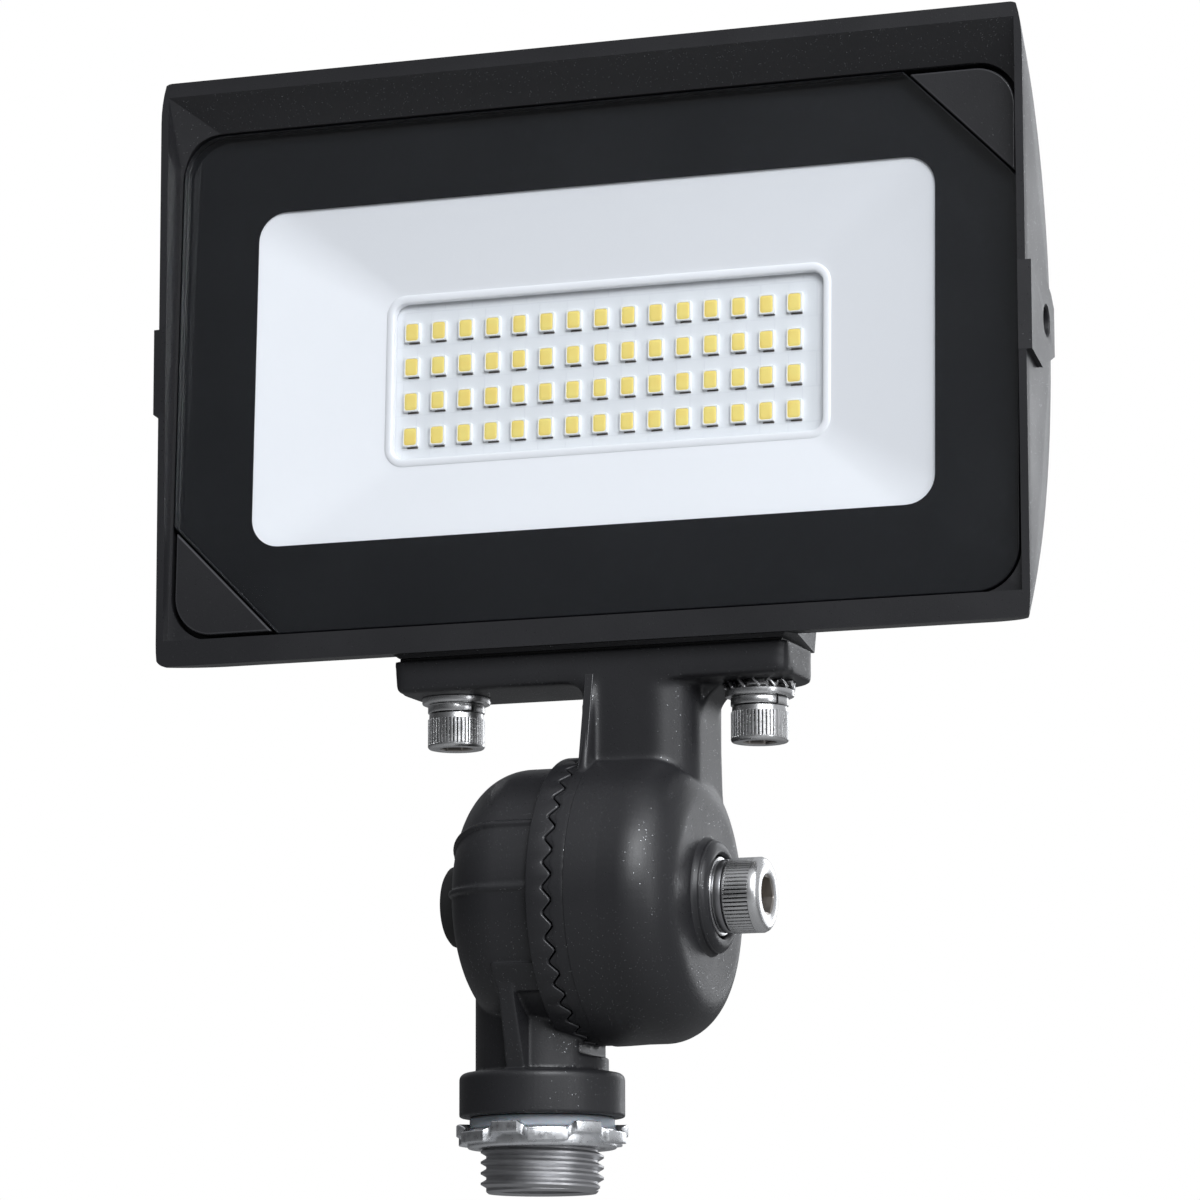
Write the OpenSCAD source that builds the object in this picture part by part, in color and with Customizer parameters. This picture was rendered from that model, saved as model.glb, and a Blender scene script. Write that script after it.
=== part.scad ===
// LED flood light on a toothed knuckle mount.
// Origin: centre of the nipple's lower end. +Z runs up the nipple, the light shines towards -Y,
// and the knuckle's pivot runs along X.

/* [Threaded nipple] */
// Diameter over the thread crests
nipple_d = 21.2; // [20.4:0.1:22]
// Depth of the thread
thread_depth = 0.95; // [0.5:0.05:1.1]
// Distance from one thread crest to the next
thread_pitch = 1.814; // [1.5:0.001:2.2]
// Width of the flat on each crest
thread_crest = 0.3; // [0.2:0.05:0.5]
// Bore for the wires
nipple_bore_d = 15.8; // [12:0.1:16.4]
// Thread that stands out below the collar
nipple_free_h = 13; // [11:0.5:22]
// Thread inside the collar
nipple_seat_h = 7.6; // [5:0.2:9]

/* [Locknut and sealing washer] */
// Height of the locknut's ring
locknut_h = 3.3; // [2.6:0.1:4]
// Outer diameter of the locknut's ring
locknut_ring_d = 25.8; // [25:0.2:27]
// Outer diameter over the lugs
locknut_d = 29.6; // [29:0.2:31]
// Number of low lugs, with as many high ones between them
lug_count = 6; // [4:1:8]
// Share of the circle that the low lugs cover
lug_low_share = 0.45; // [0.35:0.05:0.5]
// Share of the circle that the high lugs cover
lug_high_share = 0.32; // [0.2:0.02:0.4]
// Height of each lug
lug_h = 2; // [1.4:0.1:2.2]
// Height of the low lugs over the ring's underside
lug_low_z = 0.7; // [0.3:0.1:1]
// How much higher the high lugs stand
lug_step = 1.4; // [0.8:0.1:1.8]
// Outer diameter of the sealing washer
seal_washer_d = 25; // [23:0.2:25.4]
// Thickness of the sealing washer
seal_washer_t = 2.1; // [1:0.1:2.4]

/* [Knuckle base] */
// Diameter of the collar
collar_d = 28.6; // [27:0.2:32]
// Height of the collar
collar_h = 7.6; // [6:0.2:10]
// Rounding of the collar's upper edge
collar_round = 1.2; // [0.4:0.1:2]
// Diameter of the neck
neck_d = 23; // [21:0.2:24]
// Height of the neck's foot, under the flat that clears the arm
neck_foot_h = 2.6; // [1:0.2:3.4]
// Pivot height above the nipple's end
pivot_z = 50; // [48:0.5:60]
// How much smaller than the toothed rings the base drum is in radius
base_drum_step = 1.6; // [0.8:0.1:4]
// Rounding of the base drum's outer edge
base_drum_round = 10.5; // [6:0.5:12]
// Outer end of the base drum, left of the nipple's axis
base_drum_x = 11; // [10:0.5:14]
// Thickness of the toothed flange on the base side
base_flange_t = 3.7; // [2.5:0.1:5]
// Width of the drum's raised lines
rib_w = 0.9; // [0.6:0.1:1.4]
// Height of the drum's raised lines
rib_h = 0.45; // [0.2:0.05:0.8]
// Number of raised lines
rib_n = 2; // [1:1:3]
// Angle of the lowest raised line above straight ahead, in degrees
rib_low = 1; // [-10:1:10]
// Angle from one raised line to the next, in degrees
rib_step = 29; // [20:1:30]
// Width of the front gusset
gusset_w = 3.6; // [3:0.2:6]

/* [Knuckle teeth] */
// Middle plane of the teeth, right of the nipple's axis
teeth_x = 10; // [9:0.1:11]
// Number of teeth
teeth_n = 36; // [24:12:36]
// Outer radius of both toothed rings
teeth_r = 24.9; // [24.2:0.1:26]
// Radial width of the toothed rings
teeth_w = 4.6; // [3:0.1:5.4]
// Height of each ring's teeth, cut back so that the halves turn freely
tooth_h = 0.7; // [0.4:0.05:0.9]
// Gap between the two rings' tips
tooth_gap = 0.2; // [0.2:0.05:0.4]

/* [Knuckle arm] */
// Length of the domed drum from the teeth's middle plane
dome_len = 20.7; // [18:0.1:24]
// Rounding of the dome
dome_round = 8.6; // [8:0.2:13]
// Width of the arm
arm_w = 19.2; // [15:0.2:21]
// Rounding of the arm's right-hand front corner
arm_round = 7; // [3:0.5:9]
// Fillet between arm and plate on the left
fillet_left = 3; // [1:0.5:5]
// Fillet between arm and plate on the right
fillet_right = 6; // [2:0.5:8]
// Radius of the raised ring round the pivot bolt
bolt_ring_r = 9.8; // [9:0.1:11]
// Height of the raised ring
bolt_ring_h = 1.6; // [0.8:0.1:2]
// Depth of the recess inside the raised ring
recess_depth = 0.9; // [0.4:0.1:1.5]

/* [Plate] */
// Width of the plate
plate_w = 72; // [70:0.5:84]
// Depth of the plate
plate_d = 20; // [19:0.5:24]
// Thickness of the plate
plate_t = 5.6; // [4:0.2:7]
// Underside of the plate above the pivot
plate_rise = 36.8; // [36:0.2:44]
// Front of the plate, in front of the nipple's axis
plate_front = 9.3; // [9:0.1:12]
// Rounding of the plate's rear corners
plate_round = 7; // [3:0.5:8]

/* [Pivot bolt] */
// Thread diameter
pivot_d = 8; // [7:0.5:8]
// Diameter of the head
pivot_head_d = 13; // [12.4:0.1:13.4]
// Height of the head
pivot_head_h = 6.5; // [5:0.1:8]
// Width of the hexagon socket across its flats
pivot_hex = 6; // [5:0.1:7]
// Thickness of the flat washer
pivot_flat_t = 1.6; // [1:0.1:2]
// Thickness of the spring washer
pivot_spring_t = 1.7; // [1.2:0.1:2.2]
// Outer diameter of both washers
pivot_washer_d = 13.6; // [13:0.1:14]
// Radius of the plug at the bolt's far end
plug_r = 7.2; // [5.6:0.1:8]
// How far the plug stands out
plug_h = 5.6; // [2:0.2:6]

/* [Bracket bolts] */
// Distance between the two bolts
bracket_pitch = 56; // [54:0.5:60]
// Thread diameter
bracket_d = 6; // [5:0.5:6]
// Diameter of the head
bracket_head_d = 10; // [9:0.1:10.4]
// Height of the head
bracket_head_h = 6.2; // [4:0.1:6.4]
// Width of the hexagon socket across its flats
bracket_hex = 5; // [4:0.1:5.4]
// Length under the head
bracket_len = 16; // [15:0.5:17]
// Thickness of the flat washers
bracket_flat_t = 1.2; // [1:0.1:2]
// Diameter of the flat washers
bracket_flat_d = 12; // [11:0.1:12.4]
// Thickness of the spring washers
bracket_spring_t = 1.6; // [1:0.1:2]
// Thickness of the toothed grounding washer
star_t = 1.5; // [0.8:0.1:1.6]
// Number of teeth on the grounding washer
star_n = 10; // [6:1:12]

/* [Housing] */
// Middle of the head, right of the nipple's axis
head_x = 11.7; // [8:0.1:14]
// Width of the rim
rim_w = 160.2; // [158:0.2:176]
// Height of the rim
rim_h = 106; // [104:0.5:116]
// Front of the rim, in front of the nipple's axis
rim_front = 12.5; // [12:0.1:15]
// Underside of the rim above the plate's top
rim_lift = 0.9; // [0.8:0.1:3]
// Width of the rim's front face at the sides
rim_side = 1.5; // [1.2:0.1:3]
// Width of the rim's front face at the top
rim_top = 2.6; // [1.5:0.1:4]
// Rounding of the rim's corners
rim_round = 2.2; // [1:0.1:4]
// Slope of the side walls in degrees
side_draft = 4; // [2:0.5:6]
// Slope of the top and bottom walls in degrees
lid_draft = 6; // [4:0.5:8]
// Depth of the housing at its middle
housing_depth = 25.5; // [25:0.5:32]
// Radius of the curved back
back_r = 90; // [84:0.5:96]
// Height of the back's deepest line above the rim's underside
back_mid = 51.5; // [49:0.5:54]
// Rounding between back and sides
back_round = 10; // [6:0.5:11]
// Depth of the slots between the fins
fin_depth = 8; // [5:0.5:8.5]
// Thickness of each fin
fin_t = 2.6; // [1.6:0.1:3.6]
// Number of slots between the fins
slot_n = 11; // [7:2:13]
// Width of the finned middle
fins_w = 92; // [70:1:96]
// Depth of the opening's upper edge in its corners
corner_depth = 5.9; // [5.6:0.1:6.2]
// Height over which the opening's upper corners slope in
corner_drop = 12.2; // [11:0.2:13]
// Width of the ledge under the glass at the sides
ledge_side = 4.8; // [4.3:0.1:5.8]
// Width of the ledge under the glass above and below
ledge_end = 7.1; // [6:0.1:8]
// Depth of the mounting pad behind the plate's front
pad_d = 19.6; // [18:0.2:24]

/* [Side bosses] */
// Height of the boss hole above the rim's underside
boss_h = 53; // [45:0.5:60]
// Boss hole behind the rim's front
boss_depth = 13; // [11:0.5:15]
// How far the boss stands out of the side wall's front edge
boss_t = 0.9; // [0.5:0.1:2]
// Radius of the threaded hole
boss_hole_r = 2.5; // [2:0.1:3]
// Depth of the threaded hole
boss_hole_len = 6.5; // [4:0.5:7]
// Radius of the countersink at the mouth
boss_mouth_r = 2.9; // [2.5:0.1:3.4]

/* [Glass and reflector] */
// How far the glass leans back, in degrees
glass_lean = 2.5; // [0:0.25:3]
// Distance from the opening's side wall to the glass
glass_edge = 0.8; // [0.5:0.1:1.6]
// Distance from the rim's underside to the glass
glass_low = 4.9; // [4.7:0.1:6]
// Distance from the rim's top to the glass
glass_high = 8.9; // [8.5:0.1:10]
// Thickness of the glass
glass_t = 3; // [2:0.1:3.4]
// Rounding of the glass corners
glass_round = 7.8; // [4:0.2:10]
// Leg of the clipped corner
clip_leg = 20.5; // [14:0.5:24]
// Width of the printed border at the sides
border_side = 14.8; // [13:0.2:17]
// Width of the printed border above and below
border_end = 15.5; // [14:0.1:17]
// Rounding of the window corners
window_round = 6; // [2:0.2:8]
// Thickness of the printed border
border_t = 0.15; // [0.1:0.05:0.3]
// Thickness of the gasket behind the glass
gasket_t = 1; // [0.6:0.1:1.2]
// Width of the gasket
gasket_w = 4.2; // [3:0.2:4.4]
// Thickness of the reflector's sheet
tray_t = 1.1; // [0.8:0.1:1.3]
// Width of the reflector's slope at the sides
tray_side = 23.1; // [20:0.1:23.5]
// Width of the reflector's slope above and below
tray_end = 16.4; // [13.6:0.1:16.5]
// Height of the raised lip
lip_rise = 0.8; // [0.4:0.1:1.2]
// Width of the raised lip
lip_t = 1.6; // [1:0.1:2.4]

/* [Board and driver] */
// Front of the board behind the front of the glass
board_depth = 8.6; // [8.4:0.1:9.4]
// Thickness of the board
board_t = 1.6; // [1:0.1:2]
// Distance from the cavity's side to the board
board_side = 18; // [17:0.5:19]
// How far the board reaches beyond the reflector's opening above and below
board_end = 5.8; // [5:0.1:6.5]
// Thickness of the thermal pad
thermal_t = 0.5; // [0.3:0.1:0.8]
// LED columns
led_cols = 15; // [8:1:18]
// LED rows
led_rows = 4; // [2:1:5]
// Distance from the reflector's lip to the middle of the outer LED columns
led_edge_x = 4.27; // [4:0.01:6.2]
// Distance from the reflector's lip to the middle of the outer LED rows
led_edge_z = 4.68; // [4:0.01:6.5]
// Width of an LED
led_w = 2.8; // [2.4:0.1:3]
// Height of an LED
led_l = 3.5; // [3:0.1:3.6]
// Thickness of an LED
led_t = 0.7; // [0.5:0.05:0.9]
// Width of the white wall round each LED's yellow window
led_wall = 0.25; // [0.15:0.05:0.35]
// Thickness of the yellow window
phosphor_t = 0.35; // [0.2:0.05:0.4]
// Width of the driver
driver_w = 12.6; // [10:0.1:12.8]
// Length of the driver
driver_l = 40; // [30:0.5:48]
// Thickness of the driver
driver_t = 8.6; // [6:0.1:8.8]
// Diameter of the driver's wires
lead_d = 1.4; // [1:0.1:1.6]

/* [Hidden] */
$fn = 64;
EPS = 0.01;
PIN_FIT = 0.05;
SLIDE_GAP = 0.3;

// Nipple and base
nipple_r = nipple_d / 2;
nipple_top = nipple_free_h + nipple_seat_h;
root_r = nipple_r - thread_depth;
thread_start = 0.11;
thread_slope = (thread_pitch - thread_crest) / 2 - 0.1;
thread_overlap = 0.2;
thread_count = floor((nipple_top - thread_start - thread_crest - thread_slope) / thread_pitch);
covered_drop = 0.2;
collar_z = nipple_free_h;
collar_top = collar_z + collar_h;
locknut_z = collar_z - seal_washer_t - locknut_h;
lug_start = -66;
lug_sink = 0.2;
slit_w = 0.8;
slit_turn = 200;
wire_r = 6;
gusset_drop = 14.5;
gusset_reach = 0.795;
gusset_draft = 4;
land_high_drop = 12.2;
land_low_drop = 16.7;
land_proud = 0.8;
seal_land = 3.3;
chamber_r = teeth_r - teeth_w - seal_land;
hub_r = 7;
base_drum_r = teeth_r - base_drum_step;

// Knuckle, measured along X
base_face_x = teeth_x - tooth_gap / 2 - tooth_h;
arm_face_x = teeth_x + tooth_gap / 2 + tooth_h;
base_flange_x = base_face_x - base_flange_t + tooth_h;
dome_end_x = teeth_x + dome_len;
recess_x = dome_end_x + bolt_ring_h - recess_depth;
pivot_head_x = recess_x + pivot_flat_t + pivot_spring_t;
base_chamber_x = -4;
dome_wall = 6;
arm_chamber_x = dome_end_x - dome_wall;
pivot_tip_x = -base_drum_x + 2;
recess_r = pivot_washer_d / 2 + 0.4;
shadow_x = teeth_x + 2.9;
shadow_w = 0.5;
shadow_depth = 0.35;
pivot_hole_gap = 0.3;
washer_gap = 0.15;
seal_r = chamber_r + 1.6;
seal_w = 1.6;
seal_groove = 1.5;
plug_seat_r = plug_r - 1;
plug_seat_depth = 1.2;
plug_gap = 0.15;
plug_round = 1.2;

// Arm's raised front line and fillets
ridge_x = 0.8;
ridge_w = 1.6;
ridge_top = 0.3;
ridge_run = 4.7;
ridge_foot_z = 18;
fillet_inset = 3;
arm_inset = 1;

// Plate and pad
arm_x0 = arm_face_x;
arm_x1 = arm_x0 + arm_w;
plate_z = pivot_z + plate_rise;
plate_top = plate_z + plate_t;
plate_mid_y = plate_d / 2 - plate_front;
plate_front_round = 1.5;
bracket_gasket_t = 0.5;
gasket_inset = 1;
bracket_hole_r = bracket_d / 2 + 0.3;
star_tooth = 2;
star_tooth_w = 1.6;
star_sink = 0.4;
spot_r = bracket_flat_d / 2 + 0.2;
spot_depth = 5;
pad_z = plate_top + bracket_gasket_t;
pad_h = 11;
wire_x = arm_x0 + arm_w / 2;
wire_hole_r = 3.4;
wire_hole_len = 20;
wire_hole_y = -2.6;

// Head
rim_z = plate_top + rim_lift;
rim_y = -rim_front;
back_axis_y = rim_y + housing_depth - back_r;
back_axis_z = rim_z + back_mid;
slot_low = 12;
opening_top = rim_z + rim_h - rim_top;
opening_half = rim_w / 2 - rim_side;
corner_turn = 56.3;
facet_len = 60;
boss_root = 6;
boss_outline = [[0, -7.4], [8.8, -8.9], [19.5, -5], [19.5, 3.4], [17, 5.6], [12, 7.6], [6, 8.3], [0, 8]];
boss_face = rim_w / 2 - boss_depth * tan(side_draft) + boss_t;
glass_w = 2 * (opening_half - glass_edge);
glass_h = rim_h - glass_low - glass_high;
window_w = glass_w - 2 * border_side;
window_h = glass_h - 2 * border_end;
lip_w = window_w - 2 * tray_side;
lip_h = window_h - 2 * tray_end;
cavity_w = glass_w - 2 * ledge_side;
cavity_h = glass_h - 2 * ledge_end;
board_w = cavity_w - 2 * board_side;
board_h = lip_h + 2 * board_end;
led_pitch_x = (lip_w - 2 * led_edge_x) / (led_cols - 1);
led_pitch_z = (lip_h - 2 * led_edge_z) / (led_rows - 1);
phosphor_w = led_w - 2 * led_wall;
phosphor_l = led_l - 2 * led_wall;
window_z = rim_z + glass_low + glass_h / 2;
glass_sink = 3.46;
window_y = rim_y + glass_sink;
border_y = glass_t;
gasket_y = border_y + border_t;
gasket_round = 4.6;
ledge_y = gasket_y + gasket_t;
tray_y = gasket_y + EPS;
tray_board_gap = 0.2;
tray_flange = 5;
lip_round = 2.5;
lip_shift = 1.2;
lip_drop = 0.45;
tray_floor_y = board_depth - tray_t - tray_board_gap;
thermal_y = board_depth + board_t;
thermal_inset = 1;
recess_y = thermal_y + thermal_t;
glass_gap = 0.3;
cover_inset = 0.6;
cover_round = glass_round - cover_inset;
seat_lift = 0.9;
cavity_round = 4;
cavity_y = ledge_y + 4.6;
board_gap = 0.5;
board_screw_r = 1.5;
board_screw_head_r = 2.5;
board_screw_head_h = 1.2;
board_screw_len = 4.6;
cross_w = 0.7;
cross_depth = 0.8;
screw_inset = 3.4;
screw_x = board_w / 2 - screw_inset;
screw_z = 12;
led_drop = 0.9;
driver_gap = 3.2;
driver_x = board_w / 2 + driver_gap + driver_w / 2;
driver_y = 6.6;
driver_tab_h = 4;
driver_tab_t = 1.4;
driver_tab_inset = 2;
driver_hole_r = 1;
driver_screw_head_r = 1.7;
lead_inset = 1.6;
lead_lift = 1.1;
lead_pitch = 4;
pocket_gap = 0.6;

// Places a child on the pivot axis with its own Z along +X
module along_pivot(x) translate([x, 0, pivot_z]) rotate([0, 90, 0]) children();

// Places a child in the glass's own frame: origin on the middle of its front face
module glass_frame() translate([head_x, window_y, window_z]) rotate([-glass_lean, 0, 0]) children();

// A plate in the XZ plane with rounded corners, from y0 to y1
module face_plate(w, h, r, y0, y1)
    translate([0, y1, 0]) rotate([90, 0, 0]) linear_extrude(y1 - y0) rounded_rect(w, h, r);

module rounded_rect(w, h, r) {
    square([w - 2 * r, h], center = true);
    square([w, h - 2 * r], center = true);
    for (sx = [-1, 1], sy = [-1, 1])
        translate([sx * (w / 2 - r), sy * (h / 2 - r)]) circle(r);
}

module ring(r_out, r_in, h)
    difference() {
        cylinder(r = r_out, h = h);
        translate([0, 0, -1]) cylinder(r = r_in, h = h + 2);
    }

// Half section of a drum with one rounded end, standing on its flat face
module drum_section(r, h, round) {
    square([r, h - round]);
    square([r - round, h]);
    intersection() {
        translate([r - round, h - round]) circle(round);
        square([r, h]);
    }
}

module domed_drum(r, h, round)
    rotate_extrude($fn = 96) drum_section(r, h, round);

// Hexagon across flats
module hexagon(across) circle(r = across / 2 / cos(30), $fn = 6);

// Socket head screw: head above z = 0, shank below
module socket_screw(d, length, head_d, head_h, hex) {
    edge = head_d * 0.05;
    difference() {
        union() {
            translate([0, 0, -length]) cylinder(r = d / 2, h = length + EPS);
            cylinder(r = head_d / 2, h = head_h - edge);
            translate([0, 0, head_h - edge - EPS])
                cylinder(r1 = head_d / 2, r2 = head_d / 2 - edge, h = edge + EPS);
        }
        translate([0, 0, head_h * 0.4]) linear_extrude(head_h) hexagon(hex);
    }
}

// Split washer with its ends a little apart
module spring_washer(r_out, r_in, h) {
    difference() {
        ring(r_out, r_in, h);
        rotate([0, 0, slit_turn]) translate([0, -slit_w / 2, -1]) cube([r_out + 1, slit_w, h + 2]);
    }
}

// One thread crest seen in section, with its flat from z upwards
module crest_section(crest_r, z)
    polygon([[root_r - thread_overlap, z - thread_slope], [root_r, z - thread_slope], [crest_r, z],
             [crest_r, z + thread_crest], [root_r, z + thread_crest + thread_slope],
             [root_r - thread_overlap, z + thread_crest + thread_slope]]);

// Crested thread seen in section, as rings. The crests are lower from the locknut upwards.
module thread_section()
    intersection() {
        square([nipple_r + 1, nipple_top]);
        union() {
            square([root_r, nipple_top]);
            for (i = [0 : thread_count])
                crest_section(nipple_r - (i * thread_pitch > locknut_z ? covered_drop : 0),
                              thread_start + i * thread_pitch);
        }
    }

module threaded_nipple()
    color("darkgray")
    difference() {
        rotate_extrude($fn = 96) thread_section();
        translate([0, 0, -1]) cylinder(r = nipple_bore_d / 2, h = nipple_top + 2);
    }

module sealing_washer()
    color("silver")
    translate([0, 0, collar_z - seal_washer_t]) ring(seal_washer_d / 2, nipple_r + PIN_FIT, seal_washer_t);

// One bent lug of the locknut, turned to its middle
module lug(z, middle, sweep) {
    r_in = locknut_ring_d / 2 - lug_sink;
    translate([0, 0, z]) rotate([0, 0, middle - sweep / 2]) rotate_extrude(angle = sweep, $fn = 96)
        translate([r_in, 0]) square([locknut_d / 2 - r_in, lug_h]);
}

module locknut() {
    step = 360 / lug_count;
    color("gainsboro") {
        translate([0, 0, locknut_z]) ring(locknut_ring_d / 2, nipple_r + PIN_FIT, locknut_h);
        for (i = [0 : lug_count - 1]) {
            lug(locknut_z + lug_low_z, i * step + lug_start, step * lug_low_share);
            lug(locknut_z + lug_low_z + lug_step, (i + 0.5) * step + lug_start, step * lug_high_share);
        }
    }
}

// Teeth of one half: radial ridges that start on z = 0 and point to +Z
module teeth(h, phase) {
    r_in = teeth_r - teeth_w;
    tip = 0.15;
    half = r_in * tan(180 / teeth_n) - tip;
    sink = 0.3;
    intersection() {
        for (i = [0 : teeth_n - 1])
            rotate([0, 0, phase + i * 360 / teeth_n])
                translate([r_in - 1, 0, 0]) rotate([90, 0, 90]) linear_extrude(teeth_w + 2)
                    polygon([[-half, -sink], [half, -sink], [half, 0], [tip, h], [-tip, h], [-half, 0]]);
        translate([0, 0, -sink - EPS]) ring(teeth_r - 2 * EPS, r_in, h + 1);
    }
}

module gusset() {
    top_z = pivot_z - gusset_drop;
    foot_y = collar_round - collar_d / 2;
    root = gusset_w / 2 + tan(gusset_draft) * neck_d / 2;
    edge = root - tan(gusset_draft) * collar_d;
    intersection() {
        translate([root, 0, 0]) rotate([0, -90, 0]) linear_extrude(2 * root)
            polygon([[collar_top - 1, 0], [collar_top - 1, foot_y], [collar_top, foot_y],
                     [top_z, -base_drum_r * gusset_reach], [top_z, 0]]);
        linear_extrude(pivot_z) polygon([[-root, 0], [-edge, -collar_d], [edge, -collar_d], [root, 0]]);
    }
}

// Flat land over the gusset, from its left side to the flange of the teeth
module gusset_land() {
    low_y = -sqrt(pow(base_drum_r, 2) - pow(land_low_drop, 2)) - land_proud;
    high_y = -sqrt(pow(base_drum_r, 2) - pow(land_high_drop, 2)) - land_proud;
    low_z = pivot_z - land_low_drop;
    high_z = pivot_z - land_high_drop;
    x1 = base_flange_x + land_proud;
    translate([x1, 0, 0]) rotate([0, -90, 0]) linear_extrude(x1 + gusset_w / 2)
        polygon([[low_z, 0], [low_z, low_y], [high_z, high_y], [high_z, 0]]);
}

module drum_ribs()
    for (i = [0 : rib_n - 1])
        along_pivot(base_flange_x + EPS) rotate([0, 180, 0]) rotate([0, 0, rib_low + i * rib_step - 90])
            rotate([90, 0, 0]) translate([0, 0, -rib_w / 2]) linear_extrude(rib_w)
                drum_section(base_drum_r + rib_h, base_drum_x + base_flange_x + rib_h, base_drum_round);

// Neck, cut away where the other half of the knuckle turns over it
module neck()
    difference() {
        translate([0, 0, collar_top - 1]) cylinder(r = neck_d / 2, h = pivot_z - hub_r - collar_top + 2);
        translate([base_face_x, -neck_d, collar_top + neck_foot_h]) cube([neck_d, 2 * neck_d, teeth_r * 2]);
    }

module collar()
    translate([0, 0, collar_z]) domed_drum(collar_d / 2, collar_h, collar_round);

module knuckle_base()
    color([0.2, 0.2, 0.22])
    difference() {
        union() {
            along_pivot(base_flange_x + EPS) rotate([180, 0, 0])
                domed_drum(base_drum_r, base_drum_x + base_flange_x, base_drum_round);
            along_pivot(base_flange_x) cylinder(r = teeth_r, h = base_face_x - base_flange_x, $fn = 96);
            along_pivot(base_face_x) teeth(tooth_h, 5);
            drum_ribs();
            neck();
            gusset();
            gusset_land();
            collar();
        }
        // Nipple seat and wire way
        translate([0, 0, collar_z - 1]) cylinder(r = nipple_r + PIN_FIT, h = nipple_seat_h + 1);
        cylinder(r = wire_r, h = pivot_z - hub_r - 1);
        // Wire chamber round the hub
        along_pivot(base_chamber_x) ring(chamber_r, hub_r, base_face_x - base_chamber_x + 2);
        // Seal groove
        along_pivot(base_face_x - seal_groove)
            ring(seal_r + seal_w / 2 + PIN_FIT, seal_r - seal_w / 2 - PIN_FIT, 5);
        // Bolt thread and plug seat
        along_pivot(-base_drum_x - 1) cylinder(r = pivot_d / 2 + PIN_FIT, h = base_drum_x + base_face_x + 2);
        along_pivot(-base_drum_x - 1) cylinder(r = plug_seat_r, h = plug_seat_depth + 1);
        // Room for the plug's rim at the ends of the ribs
        along_pivot(-base_drum_x - 1) cylinder(r = plug_r + plug_gap, h = 1);
    }

module end_plug()
    color([0.05, 0.05, 0.05]) {
        along_pivot(-base_drum_x) rotate([180, 0, 0]) domed_drum(plug_r, plug_h, plug_round);
        along_pivot(-base_drum_x - EPS) cylinder(r = plug_seat_r - plug_gap, h = plug_seat_depth - plug_gap);
    }

module knuckle_seal()
    color([0.1, 0.1, 0.1])
    along_pivot(base_face_x - seal_groove)
        ring(seal_r + seal_w / 2, seal_r - seal_w / 2, arm_face_x - base_face_x + seal_groove - SLIDE_GAP);

// Outline of the arm seen from above, with its right-hand front corner rounded
module arm_outline() {
    y0 = -plate_front;
    depth = plate_d - arm_inset;
    translate([arm_x0, y0 + arm_round]) square([arm_w, depth - arm_round]);
    translate([arm_x0, y0]) square([arm_w - arm_round, depth]);
    translate([arm_x1 - arm_round, y0 + arm_round]) circle(arm_round);
}

// Fillet along Y: fills the corner between a wall and a ceiling
module inner_fillet(r, side, depth)
    rotate([90, 0, 0]) linear_extrude(depth)
        difference() {
            translate([side > 0 ? -EPS : -r, -r]) square([r + EPS, r + EPS]);
            translate([side * r, -r]) circle(r);
        }

module arm() {
    fillet_d = plate_d - fillet_inset;
    translate([0, 0, pivot_z]) linear_extrude(plate_rise + EPS) arm_outline();
    translate([arm_x0, fillet_d - plate_front, plate_z]) inner_fillet(fillet_left, -1, fillet_d);
    translate([arm_x1, fillet_d - plate_front, plate_z])
        inner_fillet(fillet_right, 1, fillet_d - arm_round);
    // Raised line on the front, left of the middle
    top_y = -plate_front - ridge_top;
    foot_z = pivot_z + ridge_foot_z;
    translate([arm_x0 + ridge_x + ridge_w, 0, 0]) rotate([0, -90, 0]) linear_extrude(ridge_w)
        polygon([[plate_z, 1 - plate_front], [plate_z, top_y], [foot_z, top_y - ridge_run],
                 [foot_z, 1 - plate_front]]);
}

module plate_outline() {
    x0 = head_x - plate_w / 2;
    y0 = -plate_front;
    translate([x0 + plate_round, y0 + plate_front_round])
        square([plate_w - 2 * plate_round, plate_d - plate_front_round]);
    translate([x0, y0 + plate_front_round]) square([plate_w, plate_d - plate_front_round - plate_round]);
    translate([x0 + plate_front_round, y0]) square([plate_w - 2 * plate_front_round, plate_d / 2]);
    for (side = [0, 1]) {
        translate([x0 + (side ? plate_w - plate_front_round : plate_front_round), y0 + plate_front_round])
            circle(plate_front_round);
        translate([x0 + (side ? plate_w - plate_round : plate_round), y0 + plate_d - plate_round])
            circle(plate_round);
    }
}

module at_bracket_bolts()
    for (side = [-1, 1])
        translate([head_x + side * bracket_pitch / 2, plate_mid_y, plate_z]) children();

// Upper half of the knuckle, with a shadow line between its flange and its dome
module arm_dome()
    difference() {
        along_pivot(arm_face_x) domed_drum(teeth_r, dome_end_x - arm_face_x, dome_round);
        along_pivot(shadow_x) ring(2 * teeth_r, teeth_r - shadow_depth, shadow_w);
    }

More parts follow.
